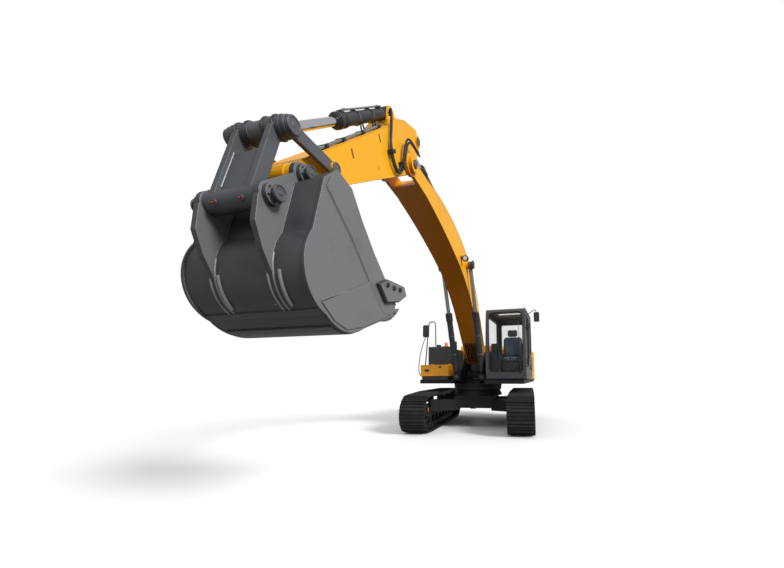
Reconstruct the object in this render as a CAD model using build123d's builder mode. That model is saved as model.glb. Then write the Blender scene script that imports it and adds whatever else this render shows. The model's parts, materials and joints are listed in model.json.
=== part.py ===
"""Crawler excavator of the 21 tonne class, parked with its bucket in the air.

Millimetres, +Z up, +X towards the bucket, +Y to the cab's side.  The origin lies on
the ground, on the axis that the upper structure turns about.  The undercarriage
stands a few degrees askew below it, as the machine was left.
"""

from build123d import *
from math import atan2, cos, degrees, hypot, pi, radians, sin
import os

# ------------------------------------------------------------------ clearances
FIT = 0.3  # between pieces that are bolted to each other
RUN = 0.5  # between a boss and the cheek that it turns against
BORE = 0.5  # round a pin, all the way
PANEL = 6.0  # round a door or lid

# --------------------------------------------------------------- undercarriage
park_turn = 4.8  # the undercarriage against the upper structure
gauge = 2400.0  # between the middles of the tracks
shoe_width = 600.0
shoe_count = 49
shoe_plate = 14.0
grouser = 24.0
link_height = 68.0  # from the pins' line out to the shoes
link_depth = 42.0  # from the pins' line in to the rollers' tread
link_width = 42.0
link_spread = 160.0  # between the middles of the two chains of links
idler_x, idler_pitch = 1720.0, 320.0
sprocket_x, sprocket_pitch = -1720.0, 345.0
wheel_lift = 18.0  # idler and sprocket above the rollers' line
roller_radius = 76.0
tread_gap = 2.5  # between the rollers and the chain
roller_count = 8
roller_first, roller_last = -1290.0, 1290.0
carrier_radius = 70.0
carrier_x = (-560.0, 640.0)
carrier_line = 812.0  # height of the pins' line over the carrier rollers
frame_half = 150.0
frame_bottom, frame_top = 318.0, 605.0
body_half_x, body_half_y = 790.0, 500.0
body_bottom, body_top, plate = 500.0, 800.0, 28.0
turret_radius, turret_top = 600.0, 950.0
tow_x, tow_hole, tow_thick = 900.0, 34.0, 45.0
bearing_outer, bearing_inner = 640.0, 500.0
bearing_top = 1020.0

# ------------------------------------------------------------- upper structure
deck_bottom, deck_top = 1115.0, 1215.0
deck_left, deck_right = 1380.0, -1350.0
deck_rear = -1985.0
cheek_inner, cheek_thick = 245.0, 40.0
tail_radius = 2750.0
tail_bottom, tail_top = 1150.0, 2060.0
lift_x, lift_y, lift_hole = -2350.0, 760.0, 32.0

# ------------------------------------------------------------------------- cab
cab_front, cab_rear = 1180.0, -590.0
cab_inner, cab_outer = 467.0, 1442.0
cab_floor, cab_roof = 1240.0, 2960.0
cab_wall = 60.0
glass = 8.0

# ---------------------------------------------------------------- working gear
foot = (177.0, 1777.0)  # boom foot pin, x and z
boom_angle, boom_length = 27.25, 5716.0
boom_half, boom_plate = 240.0, 12.0
arm_angle, arm_length = -32.74, 2680.0
arm_half, arm_plate = 185.0, 11.0
bucket_angle = 214.26  # from the hinge to the teeth
bucket_half, bucket_plate = 560.0, 22.0
rim_proud, strip_thick = 12.0, 10.0  # side plates past the wrapper; strip on a side plate's edge
lip_corner, lip_angle = (1460.0, 195.0), -54.2  # in the bucket's own frame
tooth_rows = (-494.0, -247.0, 0.0, 247.0, 494.0)
ear_inner, ear_thick = 240.0, 45.0

boom_cyl_base, boom_cyl_rod = (950.0, 1265.0), (0.4622 * boom_length, 936.0)
boom_rod_radius = 44.0
eye_half = boom_rod_radius + 1.5  # half the width of a boom cylinder's eye
boom_cyl_y = cheek_inner + cheek_thick + RUN + eye_half
arm_cyl_base, arm_cyl_rod = (0.5161 * boom_length, 1420.0), (-610.0, 330.0)
bucket_cyl_base = (20.0, 700.0)
guide_foot = (arm_length - 511.0, 24.0)
guide_length, h_length = 565.0, 676.0
link_pin = (-70.0, 446.0)  # in the bucket's own frame
tip_radius, tip_room = 105.0, 150.0  # the arm's tip, and the space for it between the ears


# ------------------------------------------------------------------ small tools
def polar(origin, angle, point):
    """The machine's x and z of a point in a frame at origin whose x axis is at angle."""
    a = radians(angle)
    x, z = point
    return (origin[0] + x * cos(a) - z * sin(a), origin[1] + x * sin(a) + z * cos(a))


def bearing(start, end):
    """Distance and angle above level from one x, z point to another."""
    return hypot(end[0] - start[0], end[1] - start[1]), degrees(
        atan2(end[1] - start[1], end[0] - start[0])
    )


def side(origin=(0.0, 0.0), angle=0.0, y=0.0):
    """A side view at y, with its x axis at this angle above level."""
    a = radians(angle)
    return Plane(origin=(origin[0], y, origin[1]), x_dir=(cos(a), 0, sin(a)), z_dir=(0, -1, 0))


arm_pivot = polar(foot, boom_angle, (boom_length, 0))
bucket_pivot = polar(arm_pivot, arm_angle, (arm_length, 0))
guide_pin = polar(arm_pivot, arm_angle, guide_foot)
lower_pin = polar(bucket_pivot, bucket_angle, link_pin)
span, span_angle = bearing(guide_pin, lower_pin)
along = (span**2 + guide_length**2 - h_length**2) / (2 * span)
upper_pin = polar(guide_pin, span_angle, (along, (guide_length**2 - along**2) ** 0.5))


def boom_side(y=0.0):
    return side(foot, boom_angle, y)


def arm_side(y=0.0):
    return side(arm_pivot, arm_angle, y)


def bucket_side(y=0.0):
    return side(bucket_pivot, bucket_angle, y)


def lip_side(y=0.0):
    """A side view whose x axis runs along the bucket's cutting edge plate, outwards."""
    return side(polar(bucket_pivot, bucket_angle, lip_corner), bucket_angle + lip_angle, y)


pieces = {}


def keep(name, builder):
    """Label a finished piece and list it for export."""
    builder.part.label = name
    pieces[name] = builder.part


# ---------------------------------------------------------- undercarriage frame
askew = Plane.XY.rotated((0, 0, park_turn))


def askew_side(y=0.0):
    """A side view in the undercarriage's own frame."""
    return Plane(askew.from_local_coords((0, y, 0)), x_dir=askew.x_dir, z_dir=-askew.y_dir)


pin_height = link_height + shoe_plate + grouser
idler_z = pin_height + idler_pitch + wheel_lift
sprocket_z = pin_height + sprocket_pitch + wheel_lift
roller_z = pin_height + link_depth + roller_radius
carrier_z = carrier_line - link_depth - carrier_radius

# wheels that the chain runs round, anticlockwise: x, z and radius of the pins' line
wheels = (
    (idler_x, idler_z, idler_pitch),
    (carrier_x[1], carrier_z, carrier_radius + link_depth),
    (carrier_x[0], carrier_z, carrier_radius + link_depth),
    (sprocket_x, sprocket_z, sprocket_pitch),
    (roller_first, roller_z, roller_radius + link_depth),
    (roller_last, roller_z, roller_radius + link_depth),
)


def chain_path():
    """The pins' line as (length, point function) runs: a straight, then an arc."""
    normals = []
    for (x0, z0, r0), (x1, z1, r1) in zip(wheels, wheels[1:] + wheels[:1]):
        reach, heading = bearing((x0, z0), (x1, z1))
        normals.append(radians(heading) - (pi - (pi - _acos((r0 - r1) / reach))))
    runs = []
    for i, (x, z, r) in enumerate(wheels):
        a0, a1 = normals[i - 1], normals[i]
        turn = (a1 - a0) % (2 * pi)
        if turn > 1.9 * pi:
            turn = 0.0
        runs.append((r * turn, ("arc", x, z, r, a0, turn)))
        x1, z1, r1 = wheels[(i + 1) % len(wheels)]
        start = (x + r * cos(a1), z + r * sin(a1))
        end = (x1 + r1 * cos(a1), z1 + r1 * sin(a1))
        runs.append((bearing(start, end)[0], ("line", start, end)))
    return runs


def _acos(v):
    return atan2((1 - v * v) ** 0.5, v)


def chain_pins(count):
    """Evenly spaced pins along the chain's closed line."""
    runs = chain_path()
    total = sum(length for length, _ in runs)
    pins = []
    for i in range(count):
        s = total * i / count
        for length, run in runs:
            if s < length:
                break
            s -= length
        if run[0] == "arc":
            _, x, z, r, a0, _ = run
            pins.append((x + r * cos(a0 + s / r), z + r * sin(a0 + s / r)))
        else:
            _, (x0, z0), (x1, z1) = run
            pins.append((x0 + (x1 - x0) * s / length, z0 + (z1 - z0) * s / length))
    return pins


def shoe_outline(pins):
    """The track's outer line: on each link a plate with three grousers."""
    outline = []
    for (x0, z0), (x1, z1) in zip(pins, pins[1:] + pins[:1]):
        pitch, heading = bearing((x0, z0), (x1, z1))
        edge, plate, tip = pitch / 2 - 2, link_height + shoe_plate, pin_height
        profile = (
            (-edge, link_height), (-edge, tip), (18 - edge, plate), (-12, plate), (0, tip),
            (12, plate), (edge - 28, plate), (edge - 16, tip), (edge, plate), (edge, link_height),
        )
        middle = ((x0 + x1) / 2, (z0 + z1) / 2)
        outline += [polar(middle, heading, (x, -h)) for x, h in profile]
    return outline


def offset_pins(pins, out):
    """The pins' line moved outwards (or inwards, below 0) by out."""
    line = []
    for before, here, after in zip(pins[-1:] + pins[:-1], pins, pins[1:] + pins[:1]):
        heading = bearing(before, after)[1]
        line.append(polar(here, heading, (0, -out)))
    return line


pins = chain_pins(shoe_count)
chain_pitch = bearing(pins[0], pins[1])[0]
for name, y in (("left", gauge / 2), ("right", -gauge / 2)):
    with BuildPart() as track:
        with BuildSketch(askew_side(y)):
            Polygon(*shoe_outline(pins), align=None)
            Polygon(*offset_pins(pins, link_height - 10), align=None, mode=Mode.SUBTRACT)
        extrude(amount=shoe_width / 2, both=True)
        with BuildSketch(askew_side(y - link_spread / 2), askew_side(y + link_spread / 2)):
            Polygon(*offset_pins(pins, link_height), align=None)
            Polygon(*offset_pins(pins, -link_depth), align=None, mode=Mode.SUBTRACT)
        extrude(amount=link_width / 2, both=True)
    keep(f"track_{name}", track)

for name, y in (("left", gauge / 2), ("right", -gauge / 2)):
    out = 1 if y > 0 else -1
    with BuildPart() as beam:
        # the beam, roofed so that mud slides off
        with BuildSketch(Plane(askew.from_local_coords((-1270, y, 0)), x_dir=askew.y_dir, z_dir=askew.x_dir)):
            Polygon(
                (-frame_half, frame_bottom), (frame_half, frame_bottom), (frame_half, frame_top - 110),
                (60, frame_top), (-60, frame_top), (-frame_half, frame_top - 110), align=None,
            )
        extrude(amount=2610)
        # cheeks that hold the idler's axle
        with BuildSketch(askew_side(y - frame_half + 20), askew_side(y + frame_half - 20)):
            with Locations((idler_x - 215, idler_z)):
                Rectangle(430, 170)
            with Locations((idler_x, idler_z)):
                Circle(85)
                Circle(45 + BORE, mode=Mode.SUBTRACT)
        extrude(amount=18, both=True)
        # the cheek that carries the final drive, and the drive's motor inside it
        with BuildSketch(askew_side(y - out * 125)):
            with Locations((sprocket_x + 230, (frame_bottom + frame_top) / 2)):
                Rectangle(460, frame_top - frame_bottom)
            with Locations((sprocket_x, sprocket_z)):
                Circle(215)
        extrude(amount=20, both=True)
        with BuildSketch(askew_side(y - out * 145)):
            with Locations((sprocket_x, sprocket_z)):
                Circle(130)
        extrude(amount=out * 120)
    keep(f"side_frame_{name}", beam)

with BuildPart() as carbody:
    with BuildSketch(askew.offset(body_bottom)):
        Rectangle(2 * body_half_x, 2 * body_half_y)
    extrude(amount=body_top - body_bottom)
    # four legs reach out to the side frames
    with BuildSketch(askew.offset(body_bottom - 60)):
        for sx in (-1, 1):
            for sy in (-1, 1):
                Polygon(
                    (sx * 250, sy * (body_half_y - 60)), (sx * 560, sy * (gauge / 2 - frame_half - FIT)),
                    (sx * 1080, sy * (gauge / 2 - frame_half - FIT)), (sx * body_half_x, sy * (body_half_y - 60)),
                    align=None,
                )
    extrude(amount=body_top - body_bottom - 30)
    with BuildSketch(askew.offset(body_top)):
        Circle(turret_radius + 60)
    with BuildSketch(askew.offset(turret_top)):
        Circle(turret_radius)
    loft()
    # the box and the turret are hollow, open where the swivel joint stands
    with BuildSketch(askew.offset(body_bottom + plate)):
        Rectangle(2 * body_half_x - 2 * plate, 2 * body_half_y - 2 * plate)
    extrude(amount=body_top - body_bottom - 2 * plate, mode=Mode.SUBTRACT)
    with BuildSketch(askew.offset(body_top - 2 * plate)):
        Circle(turret_radius - 90)
    extrude(amount=turret_top - body_top + 2 * plate, mode=Mode.SUBTRACT)
    # tow eyes at both ends
    with BuildSketch(askew.offset(body_bottom)):
        for sx in (-1, 1):
            with Locations((sx * tow_x, 0)):
                Circle(75)
                Circle(tow_hole, mode=Mode.SUBTRACT)
            with Locations((sx * (body_half_x + tow_x - 60) / 2, 0)):
                Rectangle(tow_x - 60 - body_half_x, 150)
    extrude(amount=tow_thick)
keep("carbody", carbody)

with BuildPart() as swing_bearing:
    with BuildSketch(askew.offset(turret_top)):
        Circle(bearing_outer)
        Circle(bearing_inner, mode=Mode.SUBTRACT)
    extrude(amount=bearing_top - turret_top)
keep("swing_bearing", swing_bearing)

with BuildPart() as idlers:
    for y in (gauge / 2, -gauge / 2):
        inner = link_spread / 2 + link_width / 2
        rim = (idler_pitch**2 - (chain_pitch / 2) ** 2) ** 0.5 - link_depth - FIT
        with BuildSketch(askew_side(y)) as rim_side:
            with Locations((idler_x, idler_z)):
                Circle(rim)
                Circle(rim - 60, mode=Mode.SUBTRACT)
        extrude(amount=inner, both=True)
        with BuildSketch(askew_side(y)):
            with Locations((idler_x, idler_z)):
                Circle(rim + 22)
        extrude(amount=link_spread / 2 - link_width / 2 - 4, both=True)
        with BuildSketch(askew_side(y)):
            with Locations((idler_x, idler_z)):
                Circle(45)
        extrude(amount=frame_half, both=True)
keep("idlers", idlers)

with BuildPart() as sprockets:
    for y, out in ((gauge / 2, 1), (-gauge / 2, -1)):
        with BuildSketch(askew_side(y)):
            with Locations((sprocket_x, sprocket_z)):
                Circle(sprocket_pitch - 32)
                with PolarLocations(sprocket_pitch - 36, 23, start_angle=4):
                    Trapezoid(30, 52, 76, rotation=-90)
        extrude(amount=28, both=True)
        # the final drive's drum
        with BuildSketch(askew_side(y - out * (105 - FIT))):
            with Locations((sprocket_x, sprocket_z)):
                Circle(190)
        extrude(amount=-out * 235)
        with BuildSketch(askew_side(y + out * 130)):
            with Locations((sprocket_x, sprocket_z)):
                Circle(150)
        extrude(amount=-out * 60)
keep("sprockets", sprockets)

with BuildPart() as rollers:
    step = (roller_last - roller_first) / (roller_count - 1)
    tread = link_spread / 2 + link_width / 2
    bottom_row = [(roller_first + i * step, roller_z) for i in range(roller_count)]
    for y in (gauge / 2, -gauge / 2):
        with BuildSketch(askew_side(y)):
            with Locations(*bottom_row):
                Circle(roller_radius - tread_gap)
            with Locations(*[(x, carrier_z) for x in carrier_x]):
                Circle(carrier_radius - tread_gap)
        extrude(amount=tread, both=True)
        # brackets between the rollers' axles and the beam
        with BuildSketch(askew_side(y - tread - 12), askew_side(y + tread + 12)):
            with Locations(*[(x, (roller_z - 40 + frame_bottom - FIT) / 2) for x, _ in bottom_row]):
                Rectangle(90, frame_bottom - FIT - roller_z + 40)
        extrude(amount=12, both=True)
        with BuildSketch(askew_side(y)):
            with Locations(*[(x, (carrier_z + frame_top + FIT) / 2) for x in carrier_x]):
                Rectangle(70, carrier_z - frame_top - FIT)
        extrude(amount=30, both=True)
keep("rollers", rollers)

# ------------------------------------------------------------------------ deck
cheek_mid = cheek_inner + cheek_thick / 2
lug_mid = boom_cyl_y + eye_half + RUN + 15  # middle of the lug outside a boom cylinder's eye
with BuildPart() as deck:
    with BuildSketch(Plane.XY.offset(deck_bottom)):
        with Locations(((cab_front + deck_rear) / 2, (deck_left + deck_right) / 2)):
            Rectangle(cab_front - deck_rear, deck_left - deck_right)
        with Locations((cab_front, 0)):
            Rectangle(1500, 2 * (boom_cyl_y + eye_half + 45), mode=Mode.SUBTRACT)
        with Locations((cab_front, (deck_right - 400) / 2)):
            Rectangle(560, 1000, mode=Mode.SUBTRACT)
    extrude(amount=deck_top - deck_bottom)
    # cheek plates that hold the boom's foot and the boom cylinders
    for y in (cheek_mid, -cheek_mid):
        with BuildSketch(side(y=y)):
            with Locations(boom_cyl_base):
                Circle(80)
            with Locations(foot):
                Circle(165)
            with Locations((-25, deck_bottom + 20)):
                Rectangle(1250, 40)
            make_hull()
            with Locations(foot):
                Circle(55, mode=Mode.SUBTRACT)
            with Locations(boom_cyl_base):
                Circle(40, mode=Mode.SUBTRACT)
        extrude(amount=cheek_thick / 2, both=True)
    for y in (lug_mid, -lug_mid):
        with BuildSketch(side(y=y)):
            with Locations(boom_cyl_base):
                Circle(95)
            with Locations((700, deck_bottom + 50)):
                Rectangle(400, 100)
            make_hull()
            with Locations(boom_cyl_base):
                Circle(40, mode=Mode.SUBTRACT)
        extrude(amount=15, both=True)
    # floor between the cheeks, behind the boom's foot, and the cylinders' pins
    with BuildSketch(Plane.XY.offset(deck_bottom)):
        with Locations((-150, 0)):
            Rectangle(1100, 2 * cheek_inner + 10)
    extrude(amount=deck_top - deck_bottom)
    pin_half = (lug_mid + 25 - cheek_inner) / 2
    with BuildSketch(side(boom_cyl_base, y=cheek_inner + pin_half), side(boom_cyl_base, y=-cheek_inner - pin_half)):
        Circle(40)
    extrude(amount=pin_half, both=True)
    with BuildSketch(side(foot)):
        Circle(55)
    extrude(amount=cheek_inner + cheek_thick + 25, both=True)
    # the side decks are boxes
    for y, x_from in ((820, 0.0), (-900, -120.0)):
        with BuildSketch(Plane.XY.offset(deck_bottom + 12)):
            with Locations(((x_from + deck_rear) / 2, y)):
                Rectangle(x_from - deck_rear - 60, 780)
        extrude(amount=deck_top - deck_bottom - 24, mode=Mode.SUBTRACT)
    # the bearing's inner ring
    with BuildSketch(Plane.XY.offset(bearing_top + RUN)):
        Circle(bearing_outer + 10)
        Circle(bearing_inner - 60, mode=Mode.SUBTRACT)
    extrude(amount=deck_bottom - bearing_top - RUN)
keep("deck", deck)

with BuildPart() as counterweight:
    with BuildSketch(Plane.XY.offset(tail_bottom)):
        Circle(tail_radius)
        with Locations((deck_rear - FIT + tail_radius, 0)):
            Rectangle(2 * tail_radius, 4 * tail_radius, mode=Mode.SUBTRACT)
        with Locations((0, (deck_left + 3000) / 2), (0, (deck_right - 3000) / 2)):
            Rectangle(4 * tail_radius, 3000 - deck_left, mode=Mode.SUBTRACT)
    extrude(amount=tail_top - tail_bottom)
    fillet(counterweight.edges().filter_by(GeomType.CIRCLE), 60)
    # lifting eyes
    with BuildSketch(side(y=lift_y), side(y=-lift_y)):
        with Locations((lift_x, tail_top + 60)):
            Circle(70)
        with Locations((lift_x, tail_top + 10)):
            Rectangle(180, 60)
        make_hull()
        with Locations((lift_x, tail_top + 60)):
            Circle(lift_hole, mode=Mode.SUBTRACT)
    extrude(amount=20, both=True)
keep("counterweight", counterweight)

# -------------------------------------------------------- bodywork behind the cab
cowl_front, cowl_wall = -680.0, 30.0
cowl_top = 2060.0
hood_y0, hood_y1 = -760.0, 560.0  # the raised engine hood, from right to left
hood_x0, hood_x1 = deck_rear + 90.0, -900.0
hood_height = 150.0
door_z0, door_z1 = 1330.0, 1960.0
door_x0, door_x1 = deck_rear + 110.0, -800.0
hinge_radius = 16.0
cowl_mid_x = (deck_rear + cowl_front) / 2
cowl_mid_y = (deck_left + deck_right) / 2
floor_z = deck_top + FIT

with BuildPart() as cowl:
    with BuildSketch(Plane.XY.offset(floor_z)):
        with Locations((cowl_mid_x, cowl_mid_y)):
            Rectangle(cowl_front - deck_rear, deck_left - deck_right)
    extrude(amount=cowl_top - floor_z)
    fillet(cowl.edges().group_by(Axis.Z)[-1].filter_by(Axis.X), 60)
    with BuildSketch(Plane.XY.offset(floor_z - 1)):
        with Locations((cowl_mid_x, cowl_mid_y)):
            Rectangle(cowl_front - deck_rear - 2 * cowl_wall, deck_left - deck_right - 2 * cowl_wall)
    extrude(amount=cowl_top - floor_z - cowl_wall + 1, mode=Mode.SUBTRACT)
    # side openings for the service doors, and the top opening under the hood
    with BuildSketch(side(y=0)):
        with Locations(((door_x0 + door_x1) / 2, (door_z0 + door_z1) / 2)):
            Rectangle(door_x1 - door_x0 + 2 * PANEL, door_z1 - door_z0 + 2 * PANEL)
    extrude(amount=2000, both=True, mode=Mode.SUBTRACT)
    with BuildSketch(Plane.XY.offset(cowl_top - 100)):
        with Locations(((hood_x0 + hood_x1) / 2, (hood_y0 + hood_y1) / 2)):
            Rectangle(hood_x1 - hood_x0 - 80, hood_y1 - hood_y0 - 80)
    extrude(amount=200, mode=Mode.SUBTRACT)
keep("cowl", cowl)

for name, face_y, out in (("left", deck_left, 1), ("right", deck_right, -1)):
    with BuildPart() as service_door:
        with BuildSketch(side(y=face_y)):
            with Locations(((door_x0 + door_x1) / 2, (door_z0 + door_z1) / 2)):
                RectangleRounded(door_x1 - door_x0, door_z1 - door_z0, 25)
        extrude(amount=out * cowl_wall)
        # louvres: shallow slots in the outer face
        with BuildSketch(side(y=face_y)):
            with Locations(*[((door_x0 + door_x1) / 2, door_z0 + 130 + 50 * i) for i in range(8)]):
                SlotOverall(620, 24)
        extrude(amount=out * 14, mode=Mode.SUBTRACT)
        # knuckles on the door's rear edge
        with BuildSketch(Plane.XY.offset(door_z0 + 60), Plane.XY.offset(door_z1 - 160)):
            with Locations((door_x0 - 6, face_y + out * (hinge_radius + 2))):
                Circle(hinge_radius)
            with Locations((door_x0 + 14, face_y + out * 8)):
                Rectangle(40, 16)
        extrude(amount=100)
    keep(f"service_door_{name}", service_door)

with BuildPart() as engine_hood:
    with BuildSketch(Plane.XY.offset(cowl_top + FIT)):
        with Locations(((hood_x0 + hood_x1) / 2, (hood_y0 + hood_y1) / 2)):
            RectangleRounded(hood_x1 - hood_x0, hood_y1 - hood_y0, 40)
    extrude(amount=hood_height, taper=8)
    with BuildSketch(Plane.XY.offset(cowl_top + 2)):
        with Locations(((hood_x0 + hood_x1) / 2, (hood_y0 + hood_y1) / 2)):
            Rectangle(hood_x1 - hood_x0 - 60, hood_y1 - hood_y0 - 60)
    extrude(amount=hood_height - 24, taper=8, mode=Mode.SUBTRACT)
    fillet(engine_hood.edges().group_by(Axis.Z)[-1], 20)
    with BuildSketch(side((hood_x1 + 14, cowl_top + hinge_radius + FIT), y=(hood_y0 + hood_y1) / 2 + 480),
                     side((hood_x1 + 14, cowl_top + hinge_radius + FIT), y=(hood_y0 + hood_y1) / 2 - 480)):
        Circle(hinge_radius)
        with Locations((-16, 0)):
            Rectangle(34, 20)
    extrude(amount=50, both=True)
keep("engine_hood", engine_hood)

with BuildPart() as engine_block:
    with BuildSketch(Plane.XY.offset(floor_z)):
        with Locations((-1450, -60)):
            Rectangle(620, 1150)
    extrude(amount=760)
    fillet(engine_block.edges().filter_by(Axis.Z), 60)
keep("engine_block", engine_block)

# tanks on the right, each a closed box: x from, x to, y of the inner side, top
tank_front, tank_split = 330.0, -180.0
tank_wall = 12.0
for name, x0, x1, inner, top in (
    ("fuel_tank", tank_split + 5, tank_front, -640.0, 2110.0),
    ("hydraulic_tank", cowl_front + FIT, tank_split, -600.0, 2060.0),
):
    with BuildPart() as tank:
        with BuildSketch(Plane.XY.offset(floor_z)):
            with Locations(((x0 + x1) / 2, (inner + deck_right) / 2)):
                Rectangle(x1 - x0, inner - deck_right)
        extrude(amount=top - floor_z)
        fillet(tank.edges().filter_by(Axis.Z), 45)
        fillet(tank.edges().group_by(Axis.Z)[-1], 30)
        with BuildSketch(Plane.XY.offset(floor_z)):
            with Locations(((x0 + x1) / 2, (inner + deck_right) / 2)):
                Rectangle(x1 - x0 - 2 * tank_wall, inner - deck_right - 2 * tank_wall)
        extrude(amount=top - floor_z - 45, mode=Mode.SUBTRACT)
        with BuildSketch(Plane.XY.offset(top - 1)):
            with Locations(((x0 + x1) / 2, (inner + deck_right) / 2 - 120)):
                Circle(60)
        extrude(amount=46)
    keep(name, tank)

box_front, box_right, box_left = 900.0, -1340.0, -570.0
box_bottom, box_top, box_wall = floor_z, 1600.0, 25.0
box_depth, box_inset = 300.0, 30.0  # the box below its lid, and its skirt set in under it
with BuildPart() as toolbox:
    # a skirt, then the wider box that stands on it
    for inset, z0, z1 in (
        (box_inset, box_bottom, box_top - box_depth),
        (0.0, box_top - box_depth, box_top - 20 - FIT),
    ):
        with BuildSketch(Plane.XY.offset(z0)):
            with Locations(((box_front - inset + tank_front) / 2 + FIT, (box_right + box_left) / 2)):
                Rectangle(box_front - inset - tank_front - 2 * FIT, box_left - box_right - 2 * inset)
        extrude(amount=z1 - z0)
    with BuildSketch(Plane.XY.offset(box_bottom + box_wall)):
        with Locations(((box_front + tank_front) / 2 + FIT, (box_right + box_left) / 2)):
            Rectangle(
                box_front - tank_front - 2 * (box_wall + box_inset), box_left - box_right - 2 * (box_wall + box_inset)
            )
    extrude(amount=400, mode=Mode.SUBTRACT)
keep("toolbox", toolbox)

lid_hinge = (tank_front + 40, box_top + hinge_radius)
with BuildPart() as toolbox_lid:
    with BuildSketch(Plane.XY.offset(box_top - 20)):
        with Locations(((box_front + lid_hinge[0]) / 2, (box_right + box_left) / 2)):
            Rectangle(box_front - lid_hinge[0], box_left - box_right)
    extrude(amount=20)
    with BuildSketch(side(lid_hinge, y=(box_right + box_left) / 2 + 250),
                     side(lid_hinge, y=(box_right + box_left) / 2 - 250)):
        Circle(hinge_radius)
        with Locations((16, -8)):
            Rectangle(34, 16)
    extrude(amount=45, both=True)
keep("toolbox_lid", toolbox_lid)

with BuildPart() as exhaust:
    with BuildSketch(Plane.XY.offset(cowl_top)):
        with Locations((-1150, -1000)):
            Circle(62)
    extrude(amount=330)
    with BuildSketch(Plane.XY.offset(cowl_top + 100)):
        with Locations((-1150, -1000)):
            Circle(54)
    extrude(amount=330, mode=Mode.SUBTRACT)
keep("exhaust", exhaust)

with BuildPart() as beacon:
    with BuildSketch(Plane.XY.offset(2110 + FIT)):
        with Locations((60, -900)):
            Circle(60)
    extrude(amount=40)
    with BuildSketch(Plane.XY.offset(2150 + FIT)):
        with Locations((60, -900)):
            Circle(52)
    extrude(amount=95, taper=4)
keep("beacon", beacon)

# ------------------------------------------------------------------------- cab
cab_mid = (cab_inner + cab_outer) / 2


def cab_profile(inset=0.0):
    """The cab's side outline, with its bowed front, moved inwards by inset."""
    front, roof, floor, rear = cab_front - inset, cab_roof - inset, cab_floor + inset, cab_rear + inset
    brow, nape = (170.0 - inset) * 0.7, (110.0 - inset) * 0.3
    with BuildSketch(side(y=cab_mid)) as outline:
        with BuildLine():
            Line((rear, floor), (front - 20, floor))
            ThreePointArc((front - 20, floor), (front, 1900), (front - 90, roof - brow))
            ThreePointArc(
                (front - 90, roof - brow), (front - 90 - brow * 0.35, roof - brow * 0.3), (front - 90 - brow, roof)
            )
            Line((front - 90 - brow, roof), (rear + nape, roof))
            ThreePointArc(
                (rear + nape, roof), (rear + nape * 0.3, roof - nape * 0.3), (rear, roof - nape)
            )
            Line((rear, roof - nape), (rear, floor))
        make_face()
    return outline.sketch


cab_outside, cab_inside = cab_profile(), cab_profile(cab_wall)
# windows in the cab's sides: x and z of their middles, length, height
door_mid, door_size = (525.0, 2080.0), (970.0, 1560.0)
door_pane = (door_mid[0], 2250.0, 830.0, 1100.0)
rear_quarter = (-280.0, 2330.0, 420.0, 900.0)
right_pane = (280.0, 2290.0, 1400.0, 980.0)
screen = (cab_mid, 2130.0, cab_outer - cab_inner - 130.0, 1480.0)  # y and z of its middle
rear_pane = (cab_mid, 2330.0, 720.0, 860.0)
roof_hatch = (330.0, cab_mid, 560.0, 620.0)  # x and y of its middle
glass_depth, glass_gap = 22.0, 0.3
screen_outside, screen_inside = cab_profile(glass_depth), cab_profile(glass_depth + glass)

with BuildPart() as cab_shell:
    extrude(cab_outside, amount=(cab_outer - cab_inner) / 2, both=True)
    extrude(cab_inside, amount=(cab_outer - cab_inner) / 2 - cab_wall, both=True, mode=Mode.SUBTRACT)
    with BuildSketch(side(y=cab_outer)):
        with Locations(door_mid):
            RectangleRounded(door_size[0] + 2 * PANEL, door_size[1] + 2 * PANEL, 60)
        with Locations(rear_quarter[:2]):
            RectangleRounded(rear_quarter[2], rear_quarter[3], 60)
    extrude(amount=cab_wall * 2, both=True, mode=Mode.SUBTRACT)
    with BuildSketch(side(y=cab_inner)):
        with Locations(right_pane[:2]):
            RectangleRounded(right_pane[2], right_pane[3], 60)
    extrude(amount=cab_wall * 2, both=True, mode=Mode.SUBTRACT)
    with BuildSketch(Plane.YZ.offset(cab_front)):
        with Locations(screen[:2]):
            RectangleRounded(screen[2], screen[3], 110)
    extrude(amount=260, both=True, mode=Mode.SUBTRACT)
    with BuildSketch(Plane.YZ.offset(cab_rear)):
        with Locations(rear_pane[:2]):
            RectangleRounded(rear_pane[2], rear_pane[3], 60)
    extrude(amount=cab_wall * 2, both=True, mode=Mode.SUBTRACT)
    with BuildSketch(Plane.XY.offset(cab_roof)):
        with Locations(roof_hatch[:2]):
            RectangleRounded(roof_hatch[2], roof_hatch[3], 50)
    extrude(amount=cab_wall * 2, both=True, mode=Mode.SUBTRACT)
    # rubber mounts under the floor
    with BuildSketch(Plane.XY.offset(deck_top)):
        with Locations(*[(x, y) for x in (cab_rear + 180, cab_front - 220) for y in (cab_inner + 150, cab_outer - 230)]):
            Circle(55)
    extrude(amount=cab_floor - deck_top + 5)
    # hinge knuckles behind the door
    with BuildSketch(Plane.XY.offset(door_mid[1] - 620), Plane.XY.offset(door_mid[1] + 520)):
        with Locations((door_mid[0] - door_size[0] / 2 - 24, cab_outer + hinge_radius)):
            Circle(hinge_radius)
            with Locations((-12, -8)):
                Rectangle(30, 18)
    extrude(amount=60)
keep("cab_shell", cab_shell)

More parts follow.
